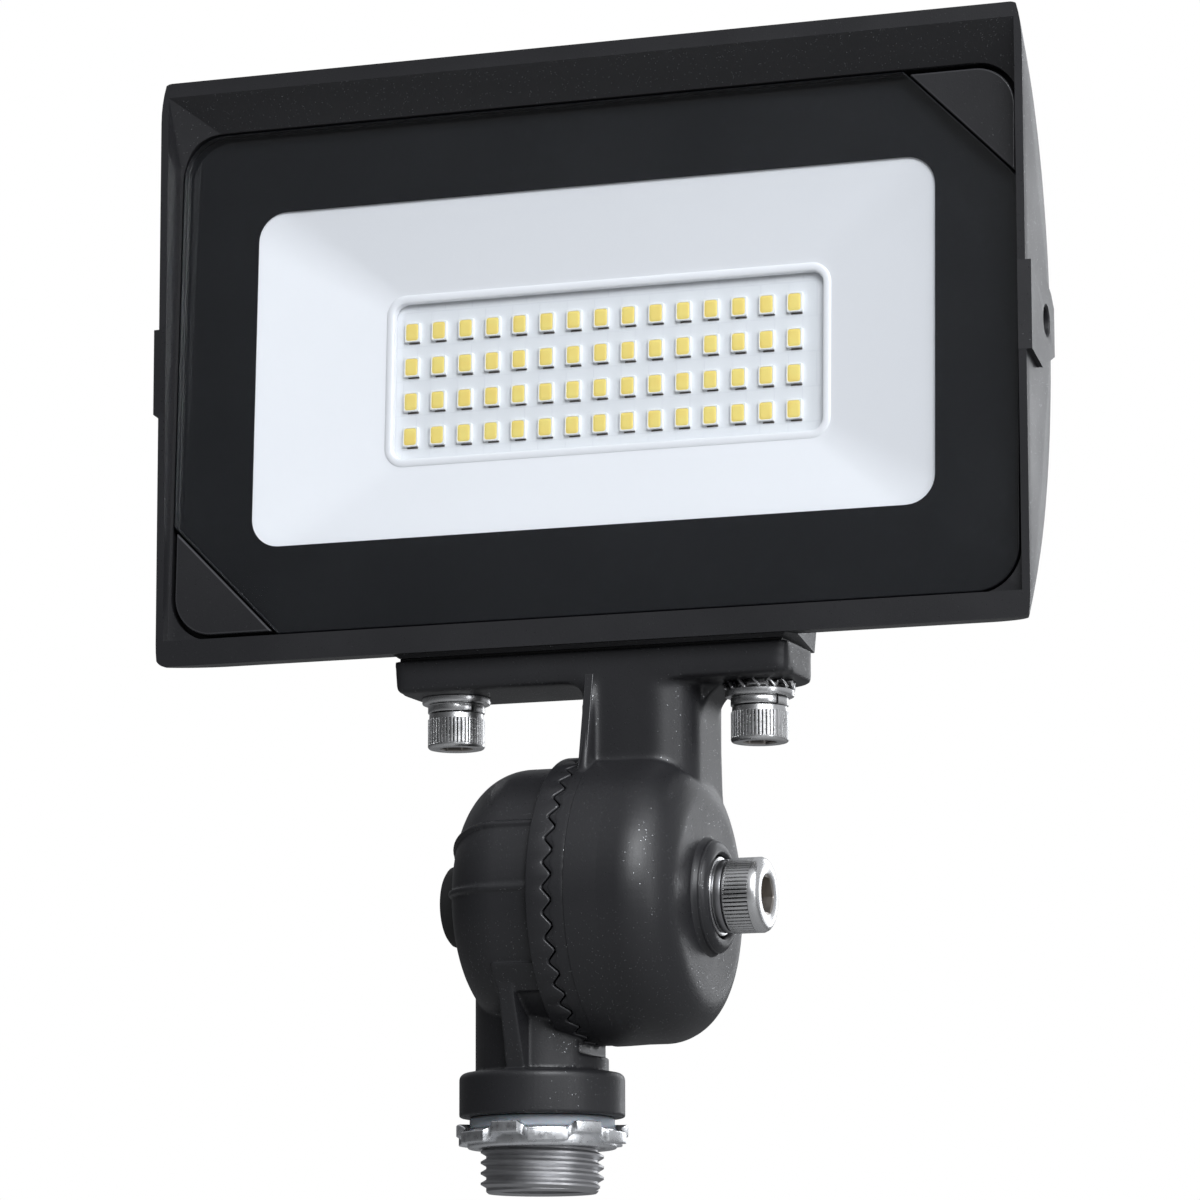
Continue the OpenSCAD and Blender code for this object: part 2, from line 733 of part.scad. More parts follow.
module knuckle_arm()
    color([0.2, 0.2, 0.22])
    difference() {
        union() {
            arm_dome();
            along_pivot(arm_face_x) rotate([180, 0, 0]) teeth(tooth_h, 0);
            along_pivot(dome_end_x - EPS) ring(bolt_ring_r, recess_r, bolt_ring_h);
            along_pivot(dome_end_x - EPS)
                cylinder(r = (bolt_ring_r + recess_r) / 2, h = bolt_ring_h - recess_depth);
            arm();
            translate([0, 0, plate_z]) linear_extrude(plate_t) plate_outline();
        }
        // Wire chamber, wire way and bolt holes
        along_pivot(arm_face_x - 2) ring(chamber_r, hub_r, arm_chamber_x - arm_face_x + 2);
        translate([wire_x, wire_hole_y, pivot_z + hub_r + 1])
            cylinder(r = wire_hole_r, h = plate_rise + plate_t);
        along_pivot(arm_face_x - 2)
            cylinder(r = pivot_d / 2 + pivot_hole_gap, h = dome_len + bolt_ring_h + 4);
        at_bracket_bolts() translate([0, 0, -1]) cylinder(r = bracket_hole_r, h = plate_t + 2);
        // Spot face for the washers
        at_bracket_bolts() translate([0, 0, -spot_depth]) cylinder(r = spot_r, h = spot_depth);
    }

module pivot_bolt()
    color("silver")
    along_pivot(pivot_head_x)
        socket_screw(pivot_d, pivot_head_x - pivot_tip_x, pivot_head_d, pivot_head_h, pivot_hex);

module pivot_spring_washer()
    color("silver")
    along_pivot(recess_x + pivot_flat_t)
        spring_washer(pivot_head_d / 2, pivot_d / 2 + washer_gap, pivot_spring_t);

module pivot_flat_washer()
    color("silver")
    along_pivot(recess_x) ring(pivot_washer_d / 2, pivot_d / 2 + washer_gap, pivot_flat_t);

// Height of the washers over a bracket bolt's head: the right-hand one carries the toothed washer too
function washer_drop(side) = side > 0 ? star_t : 0;

module bracket_bolts()
    color("silver")
    for (side = [-1, 1])
        translate([head_x + side * bracket_pitch / 2, plate_mid_y,
                   plate_z - washer_drop(side) - bracket_flat_t - bracket_spring_t])
            rotate([180, 0, 0])
                socket_screw(bracket_d, bracket_len, bracket_head_d, bracket_head_h, bracket_hex);

module bracket_spring_washers()
    color("silver")
    for (side = [-1, 1])
        translate([head_x + side * bracket_pitch / 2, plate_mid_y,
                   plate_z - washer_drop(side) - bracket_flat_t - bracket_spring_t])
            spring_washer(bracket_head_d / 2, bracket_d / 2 + washer_gap, bracket_spring_t);

module bracket_flat_washers()
    color("silver")
    for (side = [-1, 1])
        translate([head_x + side * bracket_pitch / 2, plate_mid_y,
                   plate_z - washer_drop(side) - bracket_flat_t])
            ring(bracket_flat_d / 2, bracket_d / 2 + washer_gap, bracket_flat_t);

module grounding_washer()
    color("lightgray")
    translate([head_x + bracket_pitch / 2, plate_mid_y, plate_z - star_t]) {
        translate([0, 0, star_t / 3])
            ring(bracket_flat_d / 2 - star_tooth + star_sink, bracket_d / 2 + washer_gap, star_t / 3);
        for (i = [0 : star_n - 1])
            rotate([0, 0, i * 360 / star_n])
                translate([bracket_flat_d / 2 - star_tooth, -star_tooth_w / 2, 0])
                    cube([star_tooth, star_tooth_w, star_t]);
    }

module bracket_gasket()
    color([0.08, 0.08, 0.08])
    translate([0, 0, plate_top]) difference() {
        linear_extrude(bracket_gasket_t)
            translate([head_x - plate_w / 2 + gasket_inset, gasket_inset - plate_front])
                square([plate_w - 2 * gasket_inset, plate_d - plate_round - 2 * gasket_inset]);
        at_bracket_bolts() translate([0, 0, -plate_z - 1])
            cylinder(r = bracket_hole_r, h = bracket_gasket_t + 2);
        translate([wire_x, wire_hole_y, -1]) cylinder(r = wire_hole_r, h = bracket_gasket_t + 2);
    }

// Housing

// Barrel that gives the housing its curved back and rounded side edges
module back_barrel() {
    half = rim_w / 2 - 10 * EPS;
    translate([0, back_axis_y, back_axis_z]) rotate([0, 90, 0]) {
        translate([0, 0, -EPS]) domed_drum(back_r, half, back_round);
        translate([0, 0, EPS]) rotate([180, 0, 0]) domed_drum(back_r, half, back_round);
    }
}

// Front view, plan view and side view of the rim's block
module rim_block() {
    slope_x = housing_depth * tan(side_draft);
    slope_z = housing_depth * tan(lid_draft);
    intersection() {
        translate([0, rim_y + housing_depth, rim_z + rim_h / 2]) rotate([90, 0, 0])
            linear_extrude(housing_depth) rounded_rect(rim_w, rim_h, rim_round);
        translate([0, 0, rim_z - 1]) linear_extrude(rim_h + 2)
            polygon([[-rim_w / 2, rim_y], [rim_w / 2, rim_y], [rim_w / 2 - slope_x, rim_y + housing_depth],
                     [slope_x - rim_w / 2, rim_y + housing_depth]]);
        translate([-rim_w / 2 - 1, 0, 0]) rotate([90, 0, 90]) linear_extrude(rim_w + 2)
            polygon([[rim_y, rim_z], [rim_y + housing_depth, rim_z + slope_z],
                     [rim_y + housing_depth, rim_z + rim_h - slope_z], [rim_y, rim_z + rim_h]]);
    }
}

// Slots from top to bottom, which run out of the curved back at both ends
module fin_slots() {
    pitch = (fins_w + fin_t) / slot_n;
    floor_y = rim_y + housing_depth - fin_depth;
    for (i = [0 : slot_n - 1])
        translate([-fins_w / 2 + i * pitch, floor_y, rim_z + slot_low])
            cube([pitch - fin_t, 2 * fin_depth, rim_h]);
}

// Shield-shaped boss, raised evenly over the sloping side wall
module side_boss()
    translate([rim_w / 2, rim_y, rim_z + boss_h]) rotate([0, 0, side_draft]) rotate([90, 0, 90])
        translate([0, 0, -boss_root]) linear_extrude(boss_root + boss_t) polygon(boss_outline);

module boss_hole() {
    translate([boss_face - boss_hole_len, rim_y + boss_depth, rim_z + boss_h]) rotate([0, 90, 0]) {
        cylinder(r = boss_hole_r, h = boss_hole_len + 1);
        translate([0, 0, boss_hole_len - boss_mouth_r + boss_hole_r])
            cylinder(r1 = boss_hole_r, r2 = boss_mouth_r + 0.5, h = boss_mouth_r - boss_hole_r + 0.5);
    }
}

module mounting_pad()
    translate([-plate_w / 2, -plate_front, pad_z])
        cube([plate_w, pad_d, pad_h]);

// Opening over the glass: its upper wall slopes in from the rim to the glass
module slanted_opening() {
    lean = tan(glass_lean);
    top = glass_h / 2 + glass_gap;
    translate([-opening_half, 0, 0]) rotate([90, 0, 90]) linear_extrude(2 * opening_half)
        polygon([[rim_y - 1, window_z - top], [window_y - top * lean + 0.5, window_z - top],
                 [window_y + top * lean + 0.5, window_z + top], [window_y + top * lean, window_z + top],
                 [rim_y, opening_top], [rim_y - 1, opening_top]]);
}

// Sloping facet between the opening's upper corner and the rounded corner of the glass
module corner_facet() {
    reach = corner_drop * sin(corner_turn);
    translate([opening_half, rim_y, opening_top - corner_drop]) rotate([0, -corner_turn, 0])
        linear_extrude(facet_len, center = true)
            polygon([[0, corner_depth], [2 * reach, -corner_depth], [2 * reach, 2 * corner_depth],
                     [0, 2 * corner_depth]]);
}

module front_opening()
    difference() {
        slanted_opening();
        corner_facet();
        mirror([1, 0, 0]) corner_facet();
    }

module housing_cuts() {
    translate([-head_x, 0, 0]) glass_frame() {
        // Seat of the glass and its gasket
        face_plate(glass_w + 2 * glass_gap, glass_h + 2 * glass_gap, glass_round + glass_gap,
                   -seat_lift, ledge_y);
        // Cavity with a recess for the board
        face_plate(cavity_w, cavity_h, cavity_round, ledge_y - EPS, cavity_y);
        face_plate(board_w + 2 * board_gap, board_h + 2 * board_gap, 1, ledge_y, recess_y);
        // Driver pocket
        translate([driver_x - driver_w / 2 - pocket_gap, ledge_y, -driver_l / 2 - driver_tab_h - pocket_gap])
            cube([driver_w + 2 * pocket_gap, driver_y + driver_t + tray_board_gap - ledge_y,
                  driver_l + 2 * (driver_tab_h + pocket_gap)]);
        // Screw holes
        for (sx = [-1, 1], sz = [-1, 1])
            translate([sx * screw_x, recess_y - 1, sz * screw_z]) rotate([-90, 0, 0])
                cylinder(r = board_screw_r + PIN_FIT, h = board_screw_len + glass_gap);
    }
    // Wire way and bolt holes from the pad
    translate([wire_x - head_x, wire_hole_y, pad_z - 1]) cylinder(r = wire_hole_r, h = wire_hole_len);
    for (side = [-1, 1])
        translate([side * bracket_pitch / 2, plate_mid_y, pad_z - 1])
            cylinder(r = bracket_d / 2 + PIN_FIT, h = bracket_len - plate_t);
}

module housing()
    color([0.19, 0.19, 0.21])
    translate([head_x, 0, 0]) difference() {
        union() {
            intersection() {
                rim_block();
                back_barrel();
            }
            intersection() {
                mounting_pad();
                translate([-rim_w / 2, rim_y, 0]) cube([rim_w, 2 * housing_depth, rim_z + rim_h]);
            }
            side_boss();
            mirror([1, 0, 0]) side_boss();
        }
        front_opening();
        housing_cuts();
        fin_slots();
        boss_hole();
        mirror([1, 0, 0]) boss_hole();
    }

// Glass, clips, border and gasket

// Half plane beyond the clipped corner's slanted edge, for the upper right corner
module corner_cut(gap)
    translate([glass_w / 2 - clip_leg, glass_h / 2])
        rotate(-45) translate([-2 * clip_leg, gap]) square([5 * clip_leg, 3 * clip_leg]);

module clipped_corners(gap) {
    corner_cut(gap);
    rotate(180) corner_cut(gap);
}

module glass_outline()
    difference() {
        rounded_rect(glass_w, glass_h, glass_round);
        clipped_corners(0);
    }

module glass_layer(y0, t)
    glass_frame() translate([0, y0 + t, 0]) rotate([90, 0, 0]) linear_extrude(t) children();

module front_glass()
    color([0.1, 0.12, 0.14, 0.35]) glass_layer(0, glass_t) glass_outline();

module corner_clip(turn)
    glass_layer(0, glass_t) rotate(turn) intersection() {
        rounded_rect(glass_w - 2 * cover_inset, glass_h - 2 * cover_inset, cover_round);
        corner_cut(glass_gap);
    }

module corner_clip_upper() color([0.19, 0.19, 0.21]) corner_clip(0);

module corner_clip_lower() color([0.19, 0.19, 0.21]) corner_clip(180);

module glass_border()
    color([0.02, 0.02, 0.02]) glass_layer(border_y, border_t)
        difference() {
            glass_outline();
            rounded_rect(window_w, window_h, window_round);
        }

module glass_gasket()
    color([0.75, 0.75, 0.75]) glass_layer(gasket_y, gasket_t)
        difference() {
            rounded_rect(glass_w, glass_h, glass_round);
            rounded_rect(glass_w - 2 * gasket_w, glass_h - 2 * gasket_w, gasket_round);
        }

// Four-sided funnel: a block whose sides close in with depth
module funnel(w0, h0, w1, h1, y0, y1)
    intersection() {
        translate([0, 0, -h0]) linear_extrude(2 * h0)
            polygon([[-w0 / 2, y0], [w0 / 2, y0], [w1 / 2, y1], [-w1 / 2, y1]]);
        translate([-w0, 0, 0]) rotate([90, 0, 90]) linear_extrude(2 * w0)
            polygon([[y0, -h0 / 2], [y1, -h1 / 2], [y1, h1 / 2], [y0, h0 / 2]]);
    }

module reflector() {
    inner_w = lip_w + 2 * lip_t;
    inner_h = lip_h + 2 * lip_t + 1;
    color("white") glass_frame() difference() {
        union() {
            face_plate(window_w + 2 * tray_flange, window_h + 2 * tray_flange, window_round,
                       tray_y, tray_y + tray_t);
            funnel(window_w + 2, window_h + 2, inner_w + 2, inner_h + 2, tray_y, tray_floor_y + tray_t);
        }
        difference() {
            funnel(window_w + 1, window_h + 1, inner_w, inner_h, tray_y - EPS, tray_floor_y);
            translate([lip_shift, 0, -lip_drop])
                face_plate(lip_w + 2 * lip_t, lip_h + 2 * lip_t, lip_round + lip_t, tray_floor_y - lip_rise,
                           tray_floor_y + 1);
        }
        translate([lip_shift, 0, -lip_drop]) face_plate(lip_w, lip_h, lip_round, tray_y, board_depth + 1);
    }
}

// Board, LEDs, driver

module led_board()
    color([0.95, 0.95, 0.96]) glass_frame() difference() {
        face_plate(board_w, board_h, 1, board_depth, board_depth + board_t);
        for (sx = [-1, 1], sz = [-1, 1])
            translate([sx * screw_x, board_depth - 1, sz * screw_z]) rotate([-90, 0, 0])
                cylinder(r = board_screw_r + 0.1, h = board_t + 2);
    }

module at_leds()
    for (col = [0 : led_cols - 1], row = [0 : led_rows - 1])
        translate([(col - (led_cols - 1) / 2) * led_pitch_x, board_depth,
                   (row - (led_rows - 1) / 2) * led_pitch_z - led_drop])
            children();

// A block on the LED's front, as large as its yellow window, that stands out by the lift
module phosphor(lift)
    translate([-phosphor_w / 2, -led_t - lift, -phosphor_l / 2])
        cube([phosphor_w, phosphor_t + lift, phosphor_l]);

module led_packages()
    color([0.98, 0.98, 0.95]) glass_frame() at_leds() difference() {
        translate([-led_w / 2, -led_t, -led_l / 2]) cube([led_w, led_t, led_l]);
        phosphor(EPS);
    }

module led_phosphors()
    color([0.95, 0.85, 0.45]) glass_frame() at_leds() phosphor(0);

module thermal_pad()
    color([0.6, 0.7, 0.75]) glass_frame() difference() {
        face_plate(board_w - 2 * thermal_inset, board_h - 2 * thermal_inset, 1,
                   thermal_y, thermal_y + thermal_t);
        for (sx = [-1, 1], sz = [-1, 1])
            translate([sx * screw_x, thermal_y - 1, sz * screw_z]) rotate([-90, 0, 0])
                cylinder(r = board_screw_r + 0.4, h = thermal_t + 2);
    }

module pan_screw(r, head_r, head_h, length) {
    rotate([90, 0, 0]) difference() {
        cylinder(r = head_r, h = head_h);
        for (turn = [0, 90])
            rotate([0, 0, turn]) translate([-head_r * 0.6, -cross_w / 2, head_h - cross_depth])
                cube([head_r * 1.2, cross_w, 2 * cross_depth]);
    }
    rotate([-90, 0, 0]) cylinder(r = r, h = length);
}

module board_screws()
    color("silver") glass_frame()
        for (sx = [-1, 1], sz = [-1, 1])
            translate([sx * screw_x, board_depth, sz * screw_z])
                pan_screw(board_screw_r, board_screw_head_r, board_screw_head_h, board_screw_len);

module led_driver()
    color([0.15, 0.15, 0.16]) glass_frame() translate([driver_x, driver_y, 0]) difference() {
        union() {
            translate([-driver_w / 2, 0, -driver_l / 2]) cube([driver_w, driver_t, driver_l]);
            translate([-driver_w / 2 + driver_tab_inset, driver_t - driver_tab_t, -driver_l / 2 - driver_tab_h])
                cube([driver_w - 2 * driver_tab_inset, driver_tab_t, driver_l + 2 * driver_tab_h]);
        }
        for (sz = [-1, 1])
            translate([0, driver_t - driver_tab_t - 1, sz * (driver_l + driver_tab_h) / 2])
                rotate([-90, 0, 0])
                cylinder(r = driver_hole_r, h = driver_tab_t + 2);
    }

module driver_screws()
    color("silver") glass_frame()
        for (sz = [-1, 1])
            translate([driver_x, driver_y + driver_t - driver_tab_t, sz * (driver_l + driver_tab_h) / 2])
                pan_screw(driver_hole_r - PIN_FIT, driver_screw_head_r, board_screw_head_h, driver_tab_t);

// A wire that leaves the driver's side and ends on the board
module driver_lead(z) {
    r = lead_d / 2;
    x0 = board_w / 2 - lead_inset;
    x1 = driver_x - driver_w / 2;
    y = board_depth - lead_lift;
    translate([x0, y, z]) rotate([-90, 0, 0]) cylinder(r = r, h = lead_lift, $fn = 24);
    translate([x0, y, z]) rotate([0, 90, 0]) cylinder(r = r, h = x1 - x0, $fn = 24);
    translate([x0, y, z]) sphere(r, $fn = 24);
}

module driver_leads() {
    color("firebrick") glass_frame() driver_lead(lead_pitch);
    color([0.1, 0.1, 0.1]) glass_frame() driver_lead(0);
}

threaded_nipple();
sealing_washer();
locknut();
knuckle_base();
end_plug();
knuckle_seal();
knuckle_arm();
pivot_bolt();
pivot_spring_washer();
pivot_flat_washer();
bracket_bolts();
bracket_spring_washers();
bracket_flat_washers();
grounding_washer();
bracket_gasket();
housing();
corner_clip_upper();
corner_clip_lower();
front_glass();
glass_border();
glass_gasket();
reflector();
led_board();
led_packages();
led_phosphors();
thermal_pad();
board_screws();
led_driver();
driver_screws();
driver_leads();
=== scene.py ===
import functools
import math

import bmesh
import bpy
from mathutils import Matrix, Vector


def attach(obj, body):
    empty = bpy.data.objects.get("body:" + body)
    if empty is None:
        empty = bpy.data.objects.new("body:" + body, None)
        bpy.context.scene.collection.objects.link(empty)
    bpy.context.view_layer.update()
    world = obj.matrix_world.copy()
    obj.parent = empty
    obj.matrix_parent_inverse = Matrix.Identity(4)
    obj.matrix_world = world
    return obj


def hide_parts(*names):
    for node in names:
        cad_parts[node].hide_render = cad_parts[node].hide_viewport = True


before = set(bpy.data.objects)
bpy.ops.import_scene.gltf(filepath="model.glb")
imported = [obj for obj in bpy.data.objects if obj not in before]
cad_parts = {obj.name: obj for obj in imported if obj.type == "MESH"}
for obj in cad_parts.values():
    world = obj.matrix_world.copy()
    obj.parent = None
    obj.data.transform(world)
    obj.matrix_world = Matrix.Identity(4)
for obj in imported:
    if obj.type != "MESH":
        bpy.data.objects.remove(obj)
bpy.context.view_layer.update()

bl_info = {
    "name": "LED flood light",
    "version": (1, 0, 0),
    "blender": (4, 5, 0),
    "location": "View3D > Sidebar > Flood light",
    "description": "Dresses the packed LED flood light with cast, turned and moulded pieces",
    "category": "Object",
}

MM = 0.001
SEED = 7

# Places in the frame in millimetres, and the lean of the glass in degrees
PIVOT_Z = 50.0
TEETH_X = 10.0
GLASS_ORIGIN = (11.7, -9.04, 144.3)
GLASS_LEAN = 2.5
PLATE_UNDERSIDE = 86.8
BRACKET_X = (-16.3, 39.7)
BRACKET_Y = 0.7


# Settings that a user would change

def colour_setting(name, description, default):
    return bpy.props.FloatVectorProperty(
        name=name, description=description, subtype="COLOR", size=3, default=default, min=0, max=1)


def length_setting(name, description, default, low, high, digits=5):
    return bpy.props.FloatProperty(
        name=name, description=description, default=default, min=low, max=high, unit="LENGTH",
        precision=digits)


def number_setting(name, description, default, low, high, unit="NONE"):
    return bpy.props.FloatProperty(
        name=name, description=description, default=default, min=low, max=high, unit=unit)


def count_setting(name, description, default, low, high):
    return bpy.props.IntProperty(name=name, description=description, default=default, min=low, max=high)


class FloodPaint(bpy.types.PropertyGroup):
    colour: colour_setting("Colour", "Colour of the powder coat", (0.017, 0.017, 0.019))
    roughness: number_setting("Roughness", "Roughness of the powder coat", 0.42, 0, 1)
    grain: length_setting("Grain", "Size of the powder coat's grain", 0.00022, 0.00005, 0.002)
    flake: length_setting("Flake size", "Size of the bright flakes in the coat", 0.00013, 0.00005, 0.001)
    flake_share: number_setting("Flake share", "Share of the coat that is flakes", 0.01, 0, 0.5)
    # Lighter colour of the rounded edges: a painted highlight
    edge_highlight_colour: colour_setting(
        "Edge highlight colour", "Lighter colour of the coat on its edges, a painted highlight", (0.05, 0.05, 0.054))
    edge_round: length_setting(
        "Edge rounding", "Rounding of the housing's cast edges", 0.00042, 0.0001, 0.001)
    cast_voxel: length_setting(
        "Casting detail", "Grid on which the knuckle's cast fillets form", 0.00027, 0.0002, 0.001)


class FloodKnuckle(bpy.types.PropertyGroup):
    teeth: count_setting("Teeth", "Number of teeth on each half of the knuckle", 36, 12, 72)
    tooth_height: length_setting("Tooth height", "Height of the teeth, valley to tip", 0.0016, 0.0004, 0.003)
    gap: length_setting("Gap", "Dark gap between the two toothed rings", 0.0004, 0.0001, 0.001)
    radius: length_setting("Ring radius", "Outer radius of the toothed rings", 0.02495, 0.02, 0.03)


class FloodMetal(bpy.types.PropertyGroup):
    screw_colour: colour_setting("Screw colour", "Colour of the plated screws", (0.80, 0.80, 0.80))
    nipple_colour: colour_setting("Nipple colour", "Colour of the bare nipple", (0.52, 0.52, 0.53))
    knurl_count: count_setting("Knurl ridges", "Ridges round the head of the pivot bolt", 56, 20, 90)
    thread_pitch: length_setting("Thread pitch", "Pitch of the nipple's thread", 0.001814, 0.001, 0.003, 6)


class FloodOptics(bpy.types.PropertyGroup):
    tray_colour: colour_setting("Reflector colour", "Colour of the white reflector", (0.935, 0.93, 0.955))
    phosphor_colour: colour_setting("Phosphor colour", "Colour of the LEDs' yellow windows", (1.0, 0.8, 0.2))
    columns: count_setting("LED columns", "LEDs in each row", 15, 2, 30)
    rows: count_setting("LED rows", "Rows of LEDs", 4, 2, 10)
    pitch_x: length_setting("Column pitch", "Distance between LED columns", 0.00509, 0.003, 0.01)
    pitch_z: length_setting("Row pitch", "Distance between LED rows", 0.006347, 0.004, 0.01)


class FloodStage(bpy.types.PropertyGroup):
    floor_z: length_setting("Floor height", "Height of the pale floor", -0.25, -1, 0)
    bright_side: number_setting("Bright side", "Light of the room above the object on the right", 0.5, 0, 3)
    dark_side: number_setting("Dark side", "Light of the room below the object on the left", 0.06, 0, 3)
    front_power: number_setting("Front light", "Power of the light at the front right", 14.5, 0, 100, "POWER")
    strip_power: number_setting("Strip light", "Power of the strip on the right", 3.4, 0, 100, "POWER")
    back_power: number_setting("Back light", "Power of the light at the back right", 1.35, 0, 100, "POWER")
    lens: number_setting("Lens", "Focal length of the camera in millimetres", 162, 20, 400)


# Mesh helpers: sizes go in as millimetres and meshes come out in metres

def new_object(name, mesh):
    obj = bpy.data.objects.new(name, mesh)
    bpy.context.scene.collection.objects.link(obj)
    return obj


def shade(obj, degrees=30):
    """Smooth faces with sharp edges where they turn by more than the angle."""
    mesh = obj.data
    mesh.polygons.foreach_set("use_smooth", [True] * len(mesh.polygons))
    mesh.set_sharp_from_angle(angle=math.radians(degrees))
    return obj


def bake_modifiers(obj):
    """Turns what the modifiers make into the object's plain mesh."""
    bpy.context.view_layer.update()
    evaluated = obj.evaluated_get(bpy.context.evaluated_depsgraph_get())
    mesh = bpy.data.meshes.new_from_object(evaluated)
    obj.modifiers.clear()
    obj.data = mesh
    mesh.name = obj.name
    return obj


def from_bmesh(name, bm):
    """Object with the faces of a bmesh, which is freed."""
    mesh = bpy.data.meshes.new(name)
    bm.to_mesh(mesh)
    bm.free()
    return new_object(name, mesh)


def loft(name, loops, matrix=Matrix(), around=True):
    """Skins loops of equal length, each a list of points in millimetres.

    The loops follow one another; around joins the last one to the first, otherwise both ends get a cap.
    """
    bm = bmesh.new()
    rows = [[bm.verts.new(Vector(p) * MM) for p in loop] for loop in loops]
    count = len(rows[0])
    pairs = list(zip(rows, rows[1:]))
    if around:
        pairs.append((rows[-1], rows[0]))
    for low, high in pairs:
        for i in range(count):
            j = (i + 1) % count
            bm.faces.new((low[i], low[j], high[j], high[i]))
    if not around:
        bm.faces.new(rows[0])
        bm.faces.new(rows[-1])
    bmesh.ops.remove_doubles(bm, verts=bm.verts, dist=1e-6)
    bmesh.ops.recalc_face_normals(bm, faces=bm.faces)
    bmesh.ops.transform(bm, matrix=matrix, verts=bm.verts)
    return from_bmesh(name, bm)


def circle_loop(radius, z, steps):
    turn = 2 * math.pi / steps
    return [(radius * math.cos(i * turn), radius * math.sin(i * turn), z) for i in range(steps)]


def turned(section, angle, lift=0.0):
    """Section of (radius, height) points, turned about Z and lifted."""
    return [(r * math.cos(angle), r * math.sin(angle), z + lift) for r, z in section]


def lathe(name, profile, matrix=Matrix(), steps=96, around=True):
    """Turns a profile of (radius, height) points about Z."""
    return loft(name, [circle_loop(r, z, steps) for r, z in profile], matrix, around)


def rounded_profile(r0, r1, z0, z1, edge, steps=3):
    """Rectangle in the radius and height plane with rounded corners, counter-clockwise."""
    points = []
    corners = ((r1 - edge, z0 + edge, -90), (r1 - edge, z1 - edge, 0), (r0 + edge, z1 - edge, 90),
               (r0 + edge, z0 + edge, 180))
    for r, z, start in corners:
        for i in range(steps + 1):
            a = math.radians(start + 90 * i / steps)
            points.append((r + edge * math.cos(a), z + edge * math.sin(a)))
    return points


def frame_loop(width, height, radius, depth, rise=0.0, shift=0.0, steps=8):
    """Rounded rectangle in the XZ plane at a depth along Y."""
    points = []
    corners = ((1, 1, 0), (-1, 1, 90), (-1, -1, 180), (1, -1, 270))
    for sx, sz, start in corners:
        x = sx * (width / 2 - radius) + shift
        z = sz * (height / 2 - radius) + rise
        for i in range(steps + 1):
            a = math.radians(start + 90 * i / steps)
            points.append((x + radius * math.cos(a), depth, z + radius * math.sin(a)))
    return points

def frames(*rows, **more):
    """Several rounded rectangles, each a row of width, height, radius and depth."""
    return [frame_loop(*row, **more) for row in rows]


def ramp(value, start, width):
    """Grows from 0 at its start to 1 at the end of its width."""
    return min(1.0, max(0.0, (value - start) / width))


def block(name, low, high, edge, matrix=Matrix(), segments=2):
    """Small moulded block with rounded edges."""
    bm = bmesh.new()
    size = [h - l for l, h in zip(low, high)]
    middle = [(h + l) / 2 for l, h in zip(low, high)]
    bmesh.ops.create_cube(bm, size=1)
    bmesh.ops.scale(bm, vec=[s * MM for s in size], verts=bm.verts)
    bmesh.ops.translate(bm, vec=[m * MM for m in middle], verts=bm.verts)
    bmesh.ops.bevel(bm, geom=bm.edges, offset=edge * MM, segments=segments, profile=0.5, affect="EDGES")
    bmesh.ops.transform(bm, matrix=matrix, verts=bm.verts)
    return from_bmesh(name, bm)


def node_copy(node, name):
    """Joined copy of a CAD node's loose triangles, at rest in the frame."""
    bm = bmesh.new()
    bm.from_mesh(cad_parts[node].data)
    bmesh.ops.remove_doubles(bm, verts=bm.verts, dist=2e-6)
    return from_bmesh(name, bm)


def join(name, objects):
    """One object out of several, with their materials kept."""
    bm = bmesh.new()
    materials = []
    for obj in objects:
        slots = []
        for material in obj.data.materials:
            if material not in materials:
                materials.append(material)
            slots.append(materials.index(material))
        start = len(bm.faces)
        bm.from_mesh(obj.data)
        bm.faces.ensure_lookup_table()
        for face in bm.faces[start:]:
            face.material_index = slots[face.material_index] if slots else 0
    for obj in objects:
        bpy.data.objects.remove(obj)
    joined = from_bmesh(name, bm)
    for material in materials:
        joined.data.materials.append(material)
    return joined


def eased(obj, width, materials, segments=2, degrees=30, flat_degrees=0.6):
    """Merges flat regions and rounds the sharp edges of a joined CAD copy.

    The last material goes on the rounded edges, the first on all the rest.
    """
    bm = bmesh.new()
    bm.from_mesh(obj.data)
    bmesh.ops.dissolve_limit(bm, angle_limit=math.radians(flat_degrees), verts=bm.verts, edges=bm.edges)
    bm.to_mesh(obj.data)
    bm.free()
    shade(obj, degrees)
    for material in materials:
        obj.data.materials.append(material)
    bevel = obj.modifiers.new("edges", "BEVEL")
    bevel.material = len(materials) - 1
    bevel.width = width
    bevel.segments = segments
    bevel.limit_method = "ANGLE"
    bevel.angle_limit = math.radians(degrees)
    bevel.use_clamp_overlap = True
    bevel.harden_normals = True
    return bake_modifiers(obj)


def soften(obj, name, times):
    modifier = obj.modifiers.new(name, "SMOOTH")
    modifier.factor = 0.5
    modifier.iterations = times
    return modifier


def cast(obj, voxel, softness=None):
    """Gives a joined CAD copy the soft fillets of a casting.

    Softness, where given, tells for a place in millimetres how far it is rounded further, from 0 to 1.
    """
    most_triangles = 150000
    remesh = obj.modifiers.new("grid", "REMESH")
    remesh.mode = "VOXEL"
    remesh.voxel_size = voxel
    bake_modifiers(obj)
    soften(obj, "soften", 3)
    if softness:
        group = obj.vertex_groups.new(name="soft")
        for vertex in obj.data.vertices:
            weight = softness(*(vertex.co / MM))
            if weight > 0:
                group.add([vertex.index], weight, "REPLACE")
        soften(obj, "round off", 150).vertex_group = group.name
    bake_modifiers(obj)
    obj.vertex_groups.clear()
    thin = obj.modifiers.new("thin", "DECIMATE")
    thin.ratio = min(1.0, most_triangles / (2 * len(obj.data.polygons)))
    return shade(bake_modifiers(obj), 60)


def move_mesh(obj, matrix):
    obj.data.transform(matrix)
    return obj


